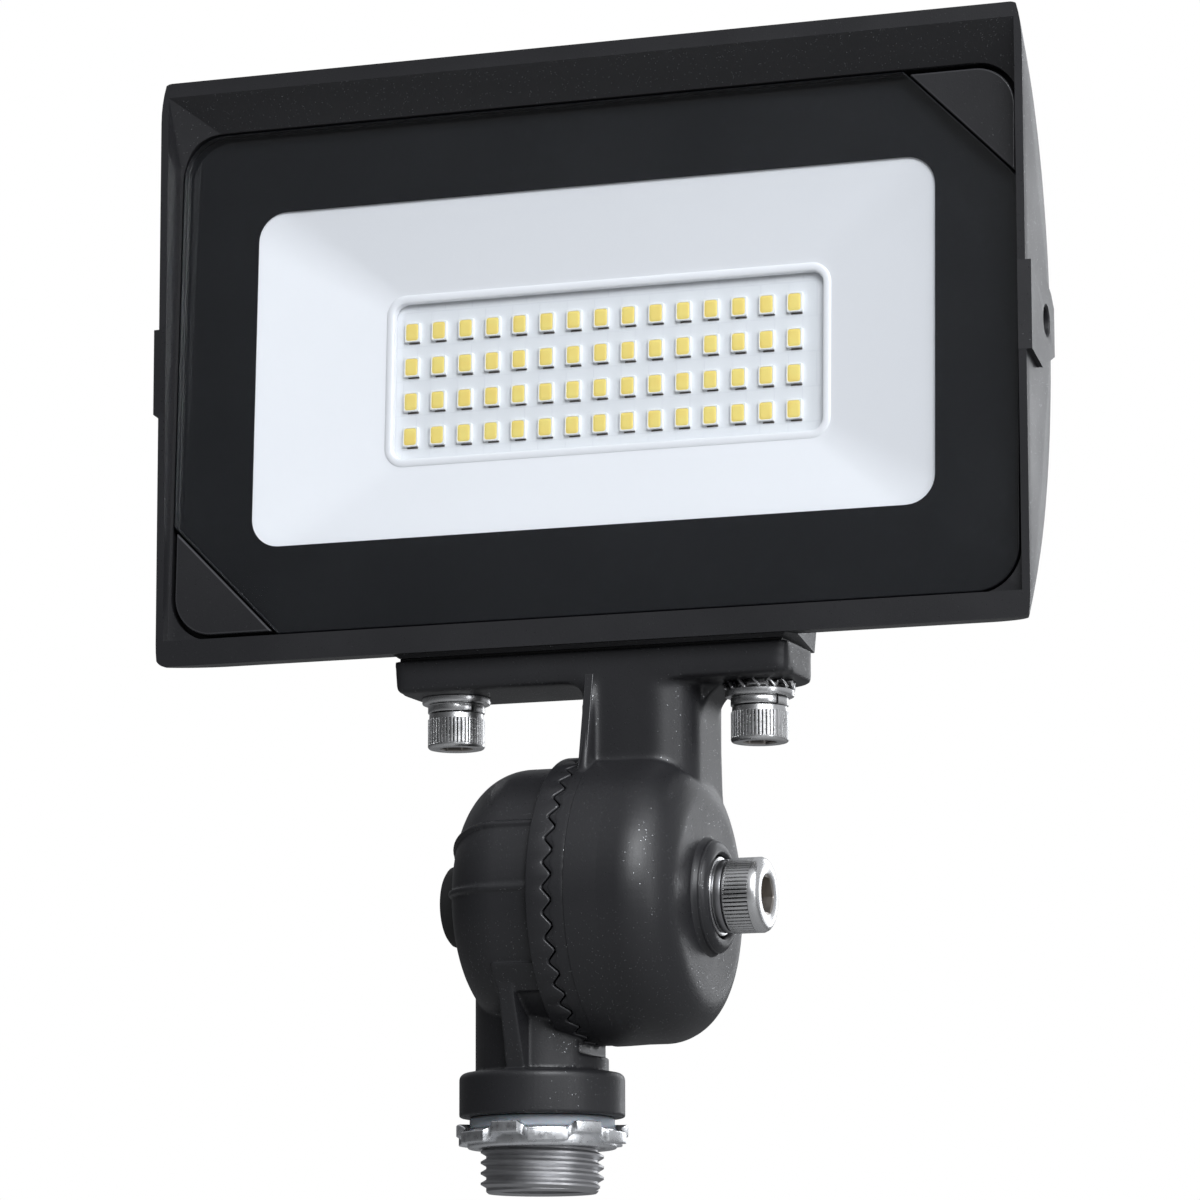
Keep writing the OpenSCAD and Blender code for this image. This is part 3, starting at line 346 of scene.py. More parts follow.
def along_pivot(x):
    """Frame on the pivot's axis: its Z runs along +X and its X points down."""
    return Matrix.Translation((x * MM, 0, PIVOT_Z * MM)) @ Matrix.Rotation(math.radians(90), 4, "Y")


def glass_frame():
    """Frame on the middle of the glass's front face, leaned back as the glass is."""
    return (Matrix.Translation(Vector(GLASS_ORIGIN) * MM)
            @ Matrix.Rotation(math.radians(-GLASS_LEAN), 4, "X"))


def place(obj, body, slot, *nodes):
    """Puts a finished piece on its body and hides the CAD nodes that it stands for. The slot is not used."""
    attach(obj, body)
    if nodes:
        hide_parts(*nodes)
    return obj


def paint(obj, material):
    obj.data.materials.clear()
    obj.data.materials.append(material)
    return obj


def finish(obj, material, degrees, body, slot, *nodes):
    """Paints, smooths and places a piece."""
    return place(shade(paint(obj, material), degrees), body, slot, *nodes)


def shared(collection, name):
    """Builds a named group or material once: later calls get the same one."""
    def wrap(build):
        @functools.wraps(build)
        def get():
            return getattr(bpy.data, collection).get(name) or build(name)
        return get
    return wrap


# Geometry Nodes

def put(tree, kind, inputs=None, **settings):
    """Adds a node, sets its settings, and fills its inputs with values or links."""
    node = tree.nodes.new(kind)
    for key, value in settings.items():
        setattr(node, key, value)
    for key, value in (inputs or {}).items():
        if isinstance(value, bpy.types.NodeSocket):
            tree.links.new(value, node.inputs[key])
        else:
            node.inputs[key].default_value = value
    return node


def add_inputs(tree, sockets):
    """Adds named inputs, of a kind that fits their defaults: no default stands for a material."""
    kinds = {int: "NodeSocketInt", float: "NodeSocketFloat", type(None): "NodeSocketMaterial"}
    for label, default in sockets.items():
        if isinstance(default, tuple):
            kind = "NodeSocketColor" if len(default) == 4 else "NodeSocketVector"
        else:
            kind = kinds[type(default)]
        socket = tree.interface.new_socket(name=label, in_out="INPUT", socket_type=kind)
        if default is not None:
            socket.default_value = default


def new_tree(name, sockets):
    """Geometry tree with named inputs and their defaults."""
    tree = bpy.data.node_groups.new(name, "GeometryNodeTree")
    tree.interface.new_socket(name="Geometry", in_out="INPUT", socket_type="NodeSocketGeometry")
    add_inputs(tree, sockets)
    tree.interface.new_socket(name="Geometry", in_out="OUTPUT", socket_type="NodeSocketGeometry")
    return tree, tree.nodes.new("NodeGroupInput").outputs


def end_tree(tree, geometry, material):
    """Closes a tree with Realize Instances and Set Material."""
    real = put(tree, "GeometryNodeRealizeInstances", {"Geometry": geometry})
    painted = put(tree, "GeometryNodeSetMaterial", {"Geometry": real.outputs[0], "Material": material})
    put(tree, "NodeGroupOutput", {"Geometry": painted.outputs[0]})


def maths(tree, operation, first, second=0.0):
    return put(tree, "ShaderNodeMath", {0: first, 1: second}, operation=operation).outputs[0]


def vector_maths(tree, operation, first, second=(0, 0, 0)):
    """Output of a vector sum: scaling takes a number second, and a dot product gives one."""
    inputs = {0: first, "Scale" if operation == "SCALE" else 1: second}
    out = put(tree, "ShaderNodeVectorMath", inputs, operation=operation).outputs
    return out["Value" if operation == "DOT_PRODUCT" else "Vector"]


@shared("node_groups", "Copies round an axis")
def round_tree(name):
    """Copies of a part turned about Z."""
    tree, given = new_tree(name, {"Count": 6, "Step": 1.0, "Material": None})
    points = put(tree, "GeometryNodeMeshLine", {"Count": given["Count"], "Offset": (0, 0, 0)})
    index = put(tree, "GeometryNodeInputIndex").outputs[0]
    euler = put(tree, "ShaderNodeCombineXYZ", {"Z": maths(tree, "MULTIPLY", index, given["Step"])})
    rotation = put(tree, "FunctionNodeEulerToRotation", {"Euler": euler.outputs[0]})
    copies = put(tree, "GeometryNodeInstanceOnPoints", {
        "Points": points.outputs[0], "Instance": given["Geometry"], "Rotation": rotation.outputs[0]})
    end_tree(tree, copies.outputs[0], given["Material"])
    return tree


@shared("node_groups", "Copies in rows and columns")
def grid_tree(name):
    """Copies of a part in rows and columns, each set a hair off true as a placing machine leaves them."""
    tree, given = new_tree(name, {
        "Columns": 15, "Rows": 4, "Pitch X": 0.005, "Pitch Z": 0.006, "Wander": 0.0, "Seed": SEED,
        "Material": None})
    total = maths(tree, "MULTIPLY", given["Columns"], given["Rows"])
    points = put(tree, "GeometryNodeMeshLine", {"Count": total, "Offset": (0, 0, 0)})
    index = put(tree, "GeometryNodeInputIndex").outputs[0]
    column = maths(tree, "FLOORED_MODULO", index, given["Columns"])
    row = maths(tree, "FLOOR", maths(tree, "DIVIDE", index, given["Columns"]))

    def spread(number, count, pitch):
        middle = maths(tree, "MULTIPLY", maths(tree, "SUBTRACT", count, 1.0), 0.5)
        return maths(tree, "MULTIPLY", maths(tree, "SUBTRACT", number, middle), pitch)

    spot = put(tree, "ShaderNodeCombineXYZ", {
        "X": spread(column, given["Columns"], given["Pitch X"]),
        "Z": spread(row, given["Rows"], given["Pitch Z"])}).outputs[0]
    wander = put(tree, "FunctionNodeRandomValue", {
        "Seed": given["Seed"], 0: (-1, 0, -1), 1: (1, 0, 1)}, data_type="FLOAT_VECTOR").outputs[0]
    at = vector_maths(tree, "ADD", spot, vector_maths(tree, "SCALE", wander, given["Wander"]))
    moved = put(tree, "GeometryNodeSetPosition", {"Geometry": points.outputs[0], "Position": at})
    copies = put(tree, "GeometryNodeInstanceOnPoints", {
        "Points": moved.outputs[0], "Instance": given["Geometry"]})
    end_tree(tree, copies.outputs[0], given["Material"])
    return tree


@shared("node_groups", "Toothed ring")
def toothed_ring_tree(name):
    """Ring with a wavy toothed face: a rounded section swept round, its upper side lifted tooth by tooth."""
    steps_per_tooth = 14.0
    sharpness = 0.93
    peak = 1.194  # about the arcsine of the sharpness, so that the wave's height comes to one
    tree, given = new_tree(name, {
        "Teeth": 36, "Outer Radius": 0.025, "Width": 0.0046, "Thickness": 0.003, "Rounding": 0.0002,
        "Tooth Height": 0.0015, "Phase": 0.0, "Material": None})
    steps = maths(tree, "MULTIPLY", given["Teeth"], steps_per_tooth)
    middle_r = maths(tree, "SUBTRACT", given["Outer Radius"], maths(tree, "MULTIPLY", given["Width"], 0.5))
    path = put(tree, "GeometryNodeCurvePrimitiveCircle", {
        "Resolution": steps, "Radius": middle_r}, mode="RADIUS")
    section = put(tree, "GeometryNodeCurvePrimitiveQuadrilateral", {
        "Width": given["Width"], "Height": given["Thickness"]}, mode="RECTANGLE")
    soft = put(tree, "GeometryNodeFilletCurve", {
        "Curve": section.outputs[0], "Radius": given["Rounding"], "Count": 3}, mode="POLY")
    ring = put(tree, "GeometryNodeCurveToMesh", {"Curve": path.outputs[0], "Profile Curve": soft.outputs[0]})
    spot = put(tree, "ShaderNodeSeparateXYZ", {0: put(tree, "GeometryNodeInputPosition").outputs[0]}).outputs
    angle = maths(tree, "ARCTAN2", spot["Y"], spot["X"])
    turns = maths(tree, "ADD", maths(tree, "MULTIPLY", angle, given["Teeth"]), given["Phase"])
    wave = maths(tree, "MULTIPLY", maths(tree, "SINE", turns), sharpness)
    sharp = maths(tree, "MULTIPLY", maths(tree, "ARCSINE", wave), 0.5 / peak)
    lift = maths(tree, "MULTIPLY", sharp, given["Tooth Height"])
    upper = maths(tree, "GREATER_THAN", spot["Z"], 0.0)
    offset = put(tree, "ShaderNodeCombineXYZ", {"Z": maths(tree, "MULTIPLY", lift, upper)})
    shaped = put(tree, "GeometryNodeSetPosition", {"Geometry": ring.outputs[0], "Offset": offset.outputs[0]})
    end_tree(tree, shaped.outputs[0], given["Material"])
    return tree


@shared("node_groups", "Wound thread")
def thread_tree(name):
    """Thread wound round Z, thinned out at both ends."""
    steps_per_turn = 72
    thinnest = 0.02
    crest_turn = math.radians(90)
    tree, given = new_tree(name, {
        "Turns": 8.0, "Height": 0.02, "Radius": 0.01, "Base": 0.0016, "Crest": 0.0004, "Depth": 0.001,
        "Run Out": 0.06, "Material": None})
    path = put(tree, "GeometryNodeCurveSpiral", {
        "Resolution": steps_per_turn, "Rotations": given["Turns"], "Start Radius": given["Radius"],
        "End Radius": given["Radius"], "Height": given["Height"]})
    along = put(tree, "GeometryNodeSplineParameter").outputs["Factor"]
    start = maths(tree, "DIVIDE", along, given["Run Out"])
    end = maths(tree, "DIVIDE", maths(tree, "SUBTRACT", 1.0, along), given["Run Out"])
    size = maths(tree, "MINIMUM", maths(tree, "MINIMUM", start, end), 1.0)
    level = put(tree, "GeometryNodeSetCurveNormal", {"Curve": path.outputs[0]}, mode="Z_UP")
    sized = put(tree, "GeometryNodeSetCurveRadius", {
        "Curve": level.outputs[0], "Radius": maths(tree, "MAXIMUM", size, thinnest)})
    section = put(tree, "GeometryNodeCurvePrimitiveQuadrilateral", {
        "Bottom Width": given["Base"], "Top Width": given["Crest"], "Height": given["Depth"], "Offset": 0.0},
        mode="TRAPEZOID")
    outward = put(tree, "GeometryNodeTransform", {
        "Geometry": section.outputs[0], "Rotation": (0, 0, crest_turn)})
    ridge = put(tree, "GeometryNodeCurveToMesh", {
        "Curve": sized.outputs[0], "Profile Curve": outward.outputs[0], "Fill Caps": True})
    end_tree(tree, ridge.outputs[0], given["Material"])
    return tree


def grow(obj, tree, values):
    """Runs a tree on an object, sets its inputs by identifier, and keeps the result as a plain mesh."""
    modifier = obj.modifiers.new("grow", "NODES")
    modifier.node_group = tree
    for item in tree.interface.items_tree:
        if item.in_out == "INPUT" and item.name in values:
            modifier[item.identifier] = values[item.name]
    return bake_modifiers(obj)


def empty_mesh(name):
    return new_object(name, bpy.data.meshes.new(name))


# Finishes

def shader_group(name, inputs, outputs):
    """Shader node group with named inputs and their defaults, and named outputs and their kinds."""
    tree = bpy.data.node_groups.new(name, "ShaderNodeTree")
    add_inputs(tree, inputs)
    for label, kind in outputs.items():
        tree.interface.new_socket(name=label, in_out="OUTPUT", socket_type="NodeSocket" + kind)
    return tree, tree.nodes.new("NodeGroupInput").outputs


def object_place(tree):
    return put(tree, "ShaderNodeTexCoord").outputs["Object"]


def noise(tree, where, size, detail):
    """Noise whose spots have about a given size in metres."""
    scale = maths(tree, "DIVIDE", 1.0, size)
    return put(tree, "ShaderNodeTexNoise", {"Vector": where, "Scale": scale, "Detail": detail}).outputs[0]


def blend(tree, factor, first, second):
    """Colour between two colours."""
    return put(tree, "ShaderNodeMix", {"Factor": factor, 6: first, 7: second}, data_type="RGBA").outputs[2]


def blend_number(tree, factor, first, second):
    return put(tree, "ShaderNodeMix", {2: first, 3: second, "Factor": factor}).outputs[0]


@shared("node_groups", "surface_grain")
def grain_group(name):
    """Fine surface grain and blotches on Object coordinates."""
    blotch_share, fine_share = 0.7, 0.3
    tree, given = shader_group(
        name,
        {"Grain Size": 0.0003, "Blotch Size": 0.02, "Dark": (0.02, 0.02, 0.02, 1),
         "Light": (0.04, 0.04, 0.04, 1), "Smooth": 0.35, "Rough": 0.5},
        {"Color": "Color", "Roughness": "Float", "Height": "Float"})
    where = object_place(tree)
    fine = noise(tree, where, given["Grain Size"], 2.0)
    blotch = noise(tree, where, given["Blotch Size"], 4.0)
    mixed = maths(tree, "ADD", maths(tree, "MULTIPLY", blotch, blotch_share),
                  maths(tree, "MULTIPLY", fine, fine_share))
    colour = blend(tree, mixed, given["Dark"], given["Light"])
    rough = put(tree, "ShaderNodeMapRange", {
        "Value": mixed, "From Min": 0.3, "From Max": 0.7, "To Min": given["Smooth"],
        "To Max": given["Rough"]})
    put(tree, "NodeGroupOutput", {"Color": colour, "Roughness": rough.outputs[0], "Height": fine})
    return tree


@shared("node_groups", "turning_lines")
def turning_group(name):
    """Fine lines that a lathe or die leaves round an axis, as a height."""
    tree, given = shader_group(
        name, {"Axis": (0, 0, 1), "Line Size": 0.0001, "Stretch": 0.02}, {"Height": "Float"})
    where = object_place(tree)
    along = vector_maths(tree, "DOT_PRODUCT", where, given["Axis"])
    onto = vector_maths(tree, "SCALE", given["Axis"], along)
    rest = vector_maths(tree, "SUBTRACT", where, onto)
    flat = vector_maths(tree, "SCALE", rest, given["Stretch"])
    squeezed = vector_maths(tree, "ADD", flat, onto)
    put(tree, "NodeGroupOutput", {"Height": noise(tree, squeezed, given["Line Size"], 2.0)})
    return tree


def start_material(name, **constants):
    """New material, its tree and its Principled shader, with the given values in the shader's sockets."""
    material = bpy.data.materials.new(name)
    material.use_nodes = True
    tree = material.node_tree
    shader = tree.nodes["Principled BSDF"]
    for key, value in constants.items():
        shader.inputs[key.replace("_", " ")].default_value = value
    return material, tree, shader


def group_outputs(tree, group, inputs):
    return put(tree, "ShaderNodeGroup", inputs, node_tree=group).outputs


def bump(tree, shader, height, strength, distance):
    node = put(tree, "ShaderNodeBump", {"Height": height, "Strength": strength, "Distance": distance})
    tree.links.new(node.outputs[0], shader.inputs["Normal"])


def rgba(colour, factor=1.0):
    return tuple(min(1.0, c * factor) for c in colour) + (1.0,)


def made(name):
    return bpy.data.materials.get(name)


def link_grain(tree, shader, out):
    tree.links.new(out["Color"], shader.inputs["Base Color"])
    tree.links.new(out["Roughness"], shader.inputs["Roughness"])


def grained(name, dark, light, smooth, rough, grain, strength, blotch=0.02, distance=0.00003, **constants):
    """A finish with grain, blotches and changing roughness."""
    if made(name):
        return made(name)
    material, tree, shader = start_material(name, **constants)
    out = group_outputs(tree, grain_group(), {
        "Grain Size": grain, "Blotch Size": blotch, "Dark": dark, "Light": light, "Smooth": smooth,
        "Rough": rough})
    link_grain(tree, shader, out)
    bump(tree, shader, out["Height"], strength, distance)
    return material


@shared("node_groups", "flakes")
def flake_group(name):
    """Tiny mirrors in the coat, each cell tilted its own way."""
    tree, given = shader_group(
        name, {"Normal": (0, 0, 0), "Size": 0.00015, "Share": 0.04, "Tilt": 0.2},
        {"Metallic": "Float", "Normal": "Vector"})
    cells = put(tree, "ShaderNodeTexVoronoi", {
        "Vector": object_place(tree), "Scale": maths(tree, "DIVIDE", 1.0, given["Size"])}).outputs["Color"]
    pick = put(tree, "ShaderNodeSeparateColor", {0: cells}).outputs[0]
    flake = maths(tree, "LESS_THAN", pick, given["Share"])
    way = put(tree, "ShaderNodeTexWhiteNoise", {"Vector": cells}, noise_dimensions="3D").outputs["Color"]
    centred = vector_maths(tree, "SUBTRACT", way, (0.5, 0.5, 0.5))
    lean = vector_maths(tree, "SCALE", centred, maths(tree, "MULTIPLY", given["Tilt"], flake))
    unit = vector_maths(tree, "NORMALIZE", vector_maths(tree, "ADD", given["Normal"], lean))
    put(tree, "NodeGroupOutput", {"Metallic": flake, "Normal": unit})
    return tree


@shared("materials", "Powder coat")
def powder_coat(name):
    """Dark grey powder coat with fine grain and bright flakes."""
    flake_silver = (0.2, 0.205, 0.21, 1)
    flake_gloss = 0.22
    coat = bpy.context.scene.flood_paint
    material, tree, shader = start_material(name, Specular_IOR_Level=0.5)
    out = group_outputs(tree, grain_group(), {
        "Grain Size": coat.grain, "Blotch Size": 0.018, "Dark": rgba(coat.colour, 0.85),
        "Light": rgba(coat.colour, 1.15), "Smooth": coat.roughness - 0.05, "Rough": coat.roughness + 0.06})
    rough = put(tree, "ShaderNodeBump", {"Height": out["Height"], "Strength": 0.5, "Distance": 0.00003})
    flakes = group_outputs(tree, flake_group(), {
        "Normal": rough.outputs[0], "Size": coat.flake, "Share": coat.flake_share})
    share = flakes["Metallic"]
    links = {"Base Color": blend(tree, share, out["Color"], flake_silver),
             "Roughness": blend_number(tree, share, out["Roughness"], flake_gloss),
             "Metallic": share, "Normal": flakes["Normal"]}
    for socket, value in links.items():
        tree.links.new(value, shader.inputs[socket])
    return material


def coat_edge_painted_highlight():
    """The same coat on the rounded edges: its higher gloss is the coat's own, its lighter colour is a painted
    highlight.
    """
    coat = bpy.context.scene.flood_paint
    return grained("Powder coat with painted edge highlight", rgba(coat.edge_highlight_colour, 0.85), rgba(coat.edge_highlight_colour, 1.15),
                   0.26, 0.36, coat.grain, 0.3)


def metal(name, colour, smooth, rough, axis=(0, 0, 1), line=0.00012, strength=0.15):
    """Bare or plated metal with turning lines and a little cloudiness."""
    if made(name):
        return made(name)
    material, tree, shader = start_material(name, Metallic=1.0)
    out = group_outputs(tree, grain_group(), {
        "Grain Size": 0.0004, "Blotch Size": 0.004, "Dark": rgba(colour, 0.86), "Light": rgba(colour, 1.1),
        "Smooth": smooth, "Rough": rough})
    lines = group_outputs(tree, turning_group(), {"Axis": axis, "Line Size": line})
    link_grain(tree, shader, out)
    bump(tree, shader, lines["Height"], strength, 0.00002)
    return material


@shared("materials", "Clear glass")
def clear_glass(name):
    """Clear glass that lets the studio light through to the reflector."""
    material, tree, shader = start_material(
        name, Transmission_Weight=1.0, IOR=1.45, Base_Color=(0.97, 0.985, 0.99, 1))
    out = group_outputs(tree, grain_group(), {
        "Grain Size": 0.002, "Blotch Size": 0.03, "Dark": (0.9, 0.9, 0.9, 1), "Light": (1, 1, 1, 1),
        "Smooth": 0.0, "Rough": 0.02})
    tree.links.new(out["Roughness"], shader.inputs["Roughness"])
    clear = put(tree, "ShaderNodeBsdfTransparent", {"Color": (0.96, 0.97, 0.975, 1)})
    rays = put(tree, "ShaderNodeLightPath").outputs
    passing = maths(tree, "MAXIMUM", rays["Is Shadow Ray"], rays["Is Diffuse Ray"])
    mix = put(tree, "ShaderNodeMixShader", {0: passing, 1: shader.outputs[0], 2: clear.outputs[0]})
    tree.links.new(mix.outputs[0], tree.nodes["Material Output"].inputs["Surface"])
    return material


@shared("materials", "White solder mask")
def board_print(name):
    """White solder mask with faint copper traces between the LEDs."""
    material, tree, shader = start_material(name, Roughness=0.4)
    upright = put(tree, "ShaderNodeMapping", {
        "Vector": object_place(tree), "Rotation": (math.radians(90), 0, 0)})
    traces = put(tree, "ShaderNodeTexBrick", {
        "Vector": upright.outputs[0], "Color1": (0.86, 0.87, 0.89, 1), "Color2": (0.85, 0.86, 0.885, 1),
        "Mortar": (0.80, 0.81, 0.84, 1), "Scale": 160.0, "Mortar Size": 0.02, "Mortar Smooth": 0.4,
        "Brick Width": 0.82, "Row Height": 1.0})
    tree.links.new(traces.outputs[0], shader.inputs["Base Color"])
    bump(tree, shader, traces.outputs[1], 0.1, 0.00002)
    return material


def phosphor():
    """Yellow phosphor with a faint orange drift."""
    red, green, blue = bpy.context.scene.flood_optics.phosphor_colour
    return grained("Yellow phosphor", (red, green * 0.86, blue * 0.8, 1), (red, green * 1.1, blue * 1.35, 1),
                   0.42, 0.6, 0.0002, 0.2, blotch=0.003)


def white_plastic():
    colour = bpy.context.scene.flood_optics.tray_colour
    return grained(
        "White plastic", rgba(colour, 0.985), rgba(colour, 1.01), 0.3, 0.42, 0.0006, 0.06, blotch=0.03)


def plated():
    return metal("Bright plating", bpy.context.scene.flood_metal.screw_colour, 0.2, 0.34, line=0.0002)


def black_rubber():
    return grained(
        "Black rubber", (0.012, 0.012, 0.012, 1), (0.022, 0.022, 0.022, 1), 0.55, 0.75, 0.0004, 0.3)


# Pieces

class Step:
    """What all the steps share: each makes its pieces in build()."""

    def execute(self, context):
        self.build(context.scene)
        return {"FINISHED"}


class FLOOD_OT_housing(Step, bpy.types.Operator):
    """Cast housing with eased edges, and the two corner covers"""
    bl_idname = "flood.housing"
    bl_label = "Housing"

    def build(self, scene):
        finishes = (powder_coat(), coat_edge_painted_highlight())
        # The lighter second finish goes on the eased edges: a painted highlight.
        shell = self.drafted(node_copy("housing", "housing_casting"))
        place(eased(shell, scene.flood_paint.edge_round, finishes, 3), "head", "powder_coat", "housing")
        cover_round = 0.35 * MM
        for node in ("corner_clip_upper", "corner_clip_lower"):
            cover = eased(node_copy(node, node + "_cover"), cover_round, finishes, 3)
            place(cover, "head", "powder_coat", node)

    def drafted(self, shell):
        """Leans the ends of the pad inwards towards its foot, as a casting needs."""
        middle = (BRACKET_X[0] + BRACKET_X[1]) / 2
        pad_half = 35
        pad_foot_z = 93.2
        lean = 1.1
        for vertex in shell.data.vertices:
            x, z = vertex.co.x / MM - middle, vertex.co.z / MM
            if abs(x) > pad_half and z < pad_foot_z:
                vertex.co.x -= math.copysign(lean * MM, x)
        return shell


class FLOOD_OT_knuckle(Step, bpy.types.Operator):
    """Both halves of the knuckle as soft castings with their toothed rings"""
    bl_idname = "flood.knuckle"
    bl_label = "Knuckle"

    def build(self, scene):
        size = scene.flood_knuckle
        voxel = scene.flood_paint.cast_voxel
        base = cast(node_copy("knuckle_base", "knuckle_base_casting"), voxel)
        place(paint(base, powder_coat()), "base", "powder_coat", "knuckle_base")
        arm = cast(node_copy("knuckle_arm", "knuckle_arm_casting"), voxel, self.plate_softness)
        place(paint(arm, powder_coat()), "head", "powder_coat", "knuckle_arm")
        base_back_x, arm_back_x, arm_sunk = 6.2, 13.1, 0.12
        self.ring(size, "base_teeth", "base", base_back_x, -1, 0.0)
        self.ring(size, "arm_teeth", "head", arm_back_x, 1, arm_sunk)
        step = [(24.4, 13.05), (24.98, 13.05), (25.08, 13.15), (25.06, 15.0), (24.86, 20.0), (24.4, 20.0)]
        finish(lathe("dome_step", step, along_pivot(0)), powder_coat(), 40, "head", "powder_coat")
        self.ridge()
        rim = [(7.2, 30.2), (7.2, 32.6), (7.35, 33.0), (7.7, 33.2), (8.3, 33.18), (8.9, 33.0), (9.4, 32.6),
               (9.7, 32.0), (9.9, 31.3), (10.1, 30.9), (10.4, 30.66), (10.4, 30.2)]
        finish(lathe("pivot_recess_rim", rim, along_pivot(0)), powder_coat(), 40, "head", "powder_coat")

    def ridge(self):
        """Wedge on the front of the arm that grows towards the knuckle, with the lighter edge coat, a painted
        highlight, on its edges.
        """
        left_x, right_x = 11.4, 12.9
        top_z, foot_z = PLATE_UNDERSIDE + 1.6, 66.4
        back_y, top_y, foot_y = -8.6, -9.3, -14.3
        loops = [[(x, back_y, foot_z), (x, foot_y, foot_z), (x, top_y, top_z), (x, back_y, top_z)]
                 for x in (left_x, right_x)]
        wedge = eased(loft("arm_ridge", loops, around=False), 0.14 * MM, (powder_coat(), coat_edge_painted_highlight()))
        place(wedge, "head", "powder_coat")

    def plate_softness(self, x, y, z):
        """The plate's lower front edge is rounded most, its top and the foot of the arm not at all."""
        plate_top_z = 91.6
        front_y, arm_left, arm_right = -5, 11, 28
        edge_low_z, edge_high_z, edge_width = PLATE_UNDERSIDE - 4, PLATE_UNDERSIDE + 3, 3
        arm_softness, arm_foot_z, arm_width = 0.4, 68, 8
        if z > plate_top_z:
            return 0
        if y < front_y and z < edge_high_z and not arm_left < x < arm_right:
            return ramp(z, edge_low_z, edge_width)
        return arm_softness * ramp(z, arm_foot_z, arm_width)

    def ring(self, size, name, body, back_x, side, sunk):
        """A ring from its plain back to the teeth, which point to the other half."""
        width, rounding, highlight_width = 4.6, 0.26, 0.5
        face_x = TEETH_X + side * size.gap / MM / 2
        thickness = abs(back_x - face_x)
        ring = grow(empty_mesh(name), toothed_ring_tree(), {
            "Teeth": size.teeth, "Outer Radius": size.radius - sunk * MM, "Width": width * MM,
            "Thickness": thickness * MM, "Rounding": rounding * MM, "Tooth Height": size.tooth_height,
            "Phase": math.radians(90), "Material": powder_coat()})
        turn = Matrix() if side < 0 else Matrix.Rotation(math.radians(180), 4, "X")
        middle = (back_x + face_x) / 2
        shift = Matrix.Rotation(math.radians(180 / size.teeth) if side < 0 else 0, 4, "Z")
        # Painted highlight: the lighter edge coat on the ring's outer rounded edge.
        self.paint_edge_highlight(ring, size.radius - highlight_width * MM)
        move_mesh(ring, along_pivot(middle) @ turn @ shift)
        place(shade(ring, 50), body, "powder_coat")

    def paint_edge_highlight(self, ring, radius):
        """Puts the lighter edge coat, a painted highlight, on the rounded edge outside the teeth."""
        slant = 0.35
        ring.data.materials.append(coat_edge_painted_highlight())
        for face in ring.data.polygons:
            outward = face.normal.z > slant and math.hypot(face.normal.x, face.normal.y) > slant
            if outward and math.hypot(face.center.x, face.center.y) > radius:
                face.material_index = 1


class FLOOD_OT_nipple(Step, bpy.types.Operator):
    """Threaded nipple with a wound thread and a chamfered end"""
    bl_idname = "flood.nipple"
    bl_label = "Nipple"

    def build(self, scene):
        pitch = scene.flood_metal.thread_pitch / MM
        material = metal(
            "Bare casting", scene.flood_metal.nipple_colour, 0.28, 0.5, line=0.0002, strength=0.25)
        root, bore, mouth, chamfer, top = 9.65, 7.9, 8.3, 0.35, 20.6
        core = lathe("nipple_core", [
            (mouth, 0), (root - chamfer, 0), (root, chamfer), (root, top), (bore, top), (bore, 0.4)])
        paint(core, material)
        valley, crest, depth, middle = 0.25, 0.35, 1.06, 0.42
        height = top - pitch
        thread = grow(empty_mesh("nipple_thread"), thread_tree(), {
            "Turns": height / pitch, "Height": height * MM, "Radius": (root + middle) * MM,
            "Base": (pitch - valley) * MM, "Crest": crest * MM, "Depth": depth * MM, "Run Out": 0.05,
            "Material": material})
        move_mesh(thread, Matrix.Translation((0, 0, pitch / 2 * MM)))
        nipple = join("nipple", [core, thread])
        place(shade(nipple, 35), "base", "zinc_casting", "threaded_nipple")


class FLOOD_OT_locknut(Step, bpy.types.Operator):
    """Stamped locknut with its bent lugs, and the sealing washer over it"""
    bl_idname = "flood.locknut"
    bl_label = "Locknut and washer"

    def build(self, scene):
        material = grained("Stamped plating", (0.74, 0.75, 0.77, 1), (0.97, 0.98, 0.99, 1), 0.2, 0.4, 0.0004,
                           0.3, blotch=0.0012, Metallic=1.0)
        ring = paint(lathe("locknut_ring", rounded_profile(10.68, 12.9, 7.6, 10.9, 0.45)), material)
        nut = join("locknut_body", [ring, paint(self.flange(), material)])
        place(shade(nut, 30), "nut", "zinc_plate", "locknut")
        silicone = grained("Grey silicone", (0.28, 0.305, 0.34, 1), (0.4, 0.43, 0.47, 1), 0.35, 0.5, 0.0004,
                           0.15, Subsurface_Weight=0.3, Subsurface_Scale=0.001)
        washer = lathe("sealing_ring", rounded_profile(10.66, 12.5, 10.92, 12.98, 0.5, 5))
        finish(washer, silicone, 50, "seal_ring", "grey_silicone", "sealing_washer")

    def flange(self):
        """Flange round the ring that is bent up and down six times, with a lug on each level."""
        count = 432
        lug_step = 60
        low_middle = -66
        low_half, high_half = 13.5, 9.6
        bend = lug_step / 2 - high_half - low_half
        inner_r, outer_r, under_z, upper_z, edge = 12.2, 14.8, 8.3, 10.3, 0.22
        lift, notch_depth = 1.4, 0.9
        loops = []
        for i in range(count):
            degrees = 360 * i / count
            away = abs((degrees - low_middle + lug_step / 2) % lug_step - lug_step / 2)
            share = ramp(away, low_half, bend)
            notch = notch_depth * math.sin(math.pi * share)
            up = lift * share
            section = rounded_profile(inner_r, outer_r - notch, under_z + up, upper_z + up, edge)
            loops.append(turned(section, math.radians(degrees)))
        return loft("locknut_flange", loops)


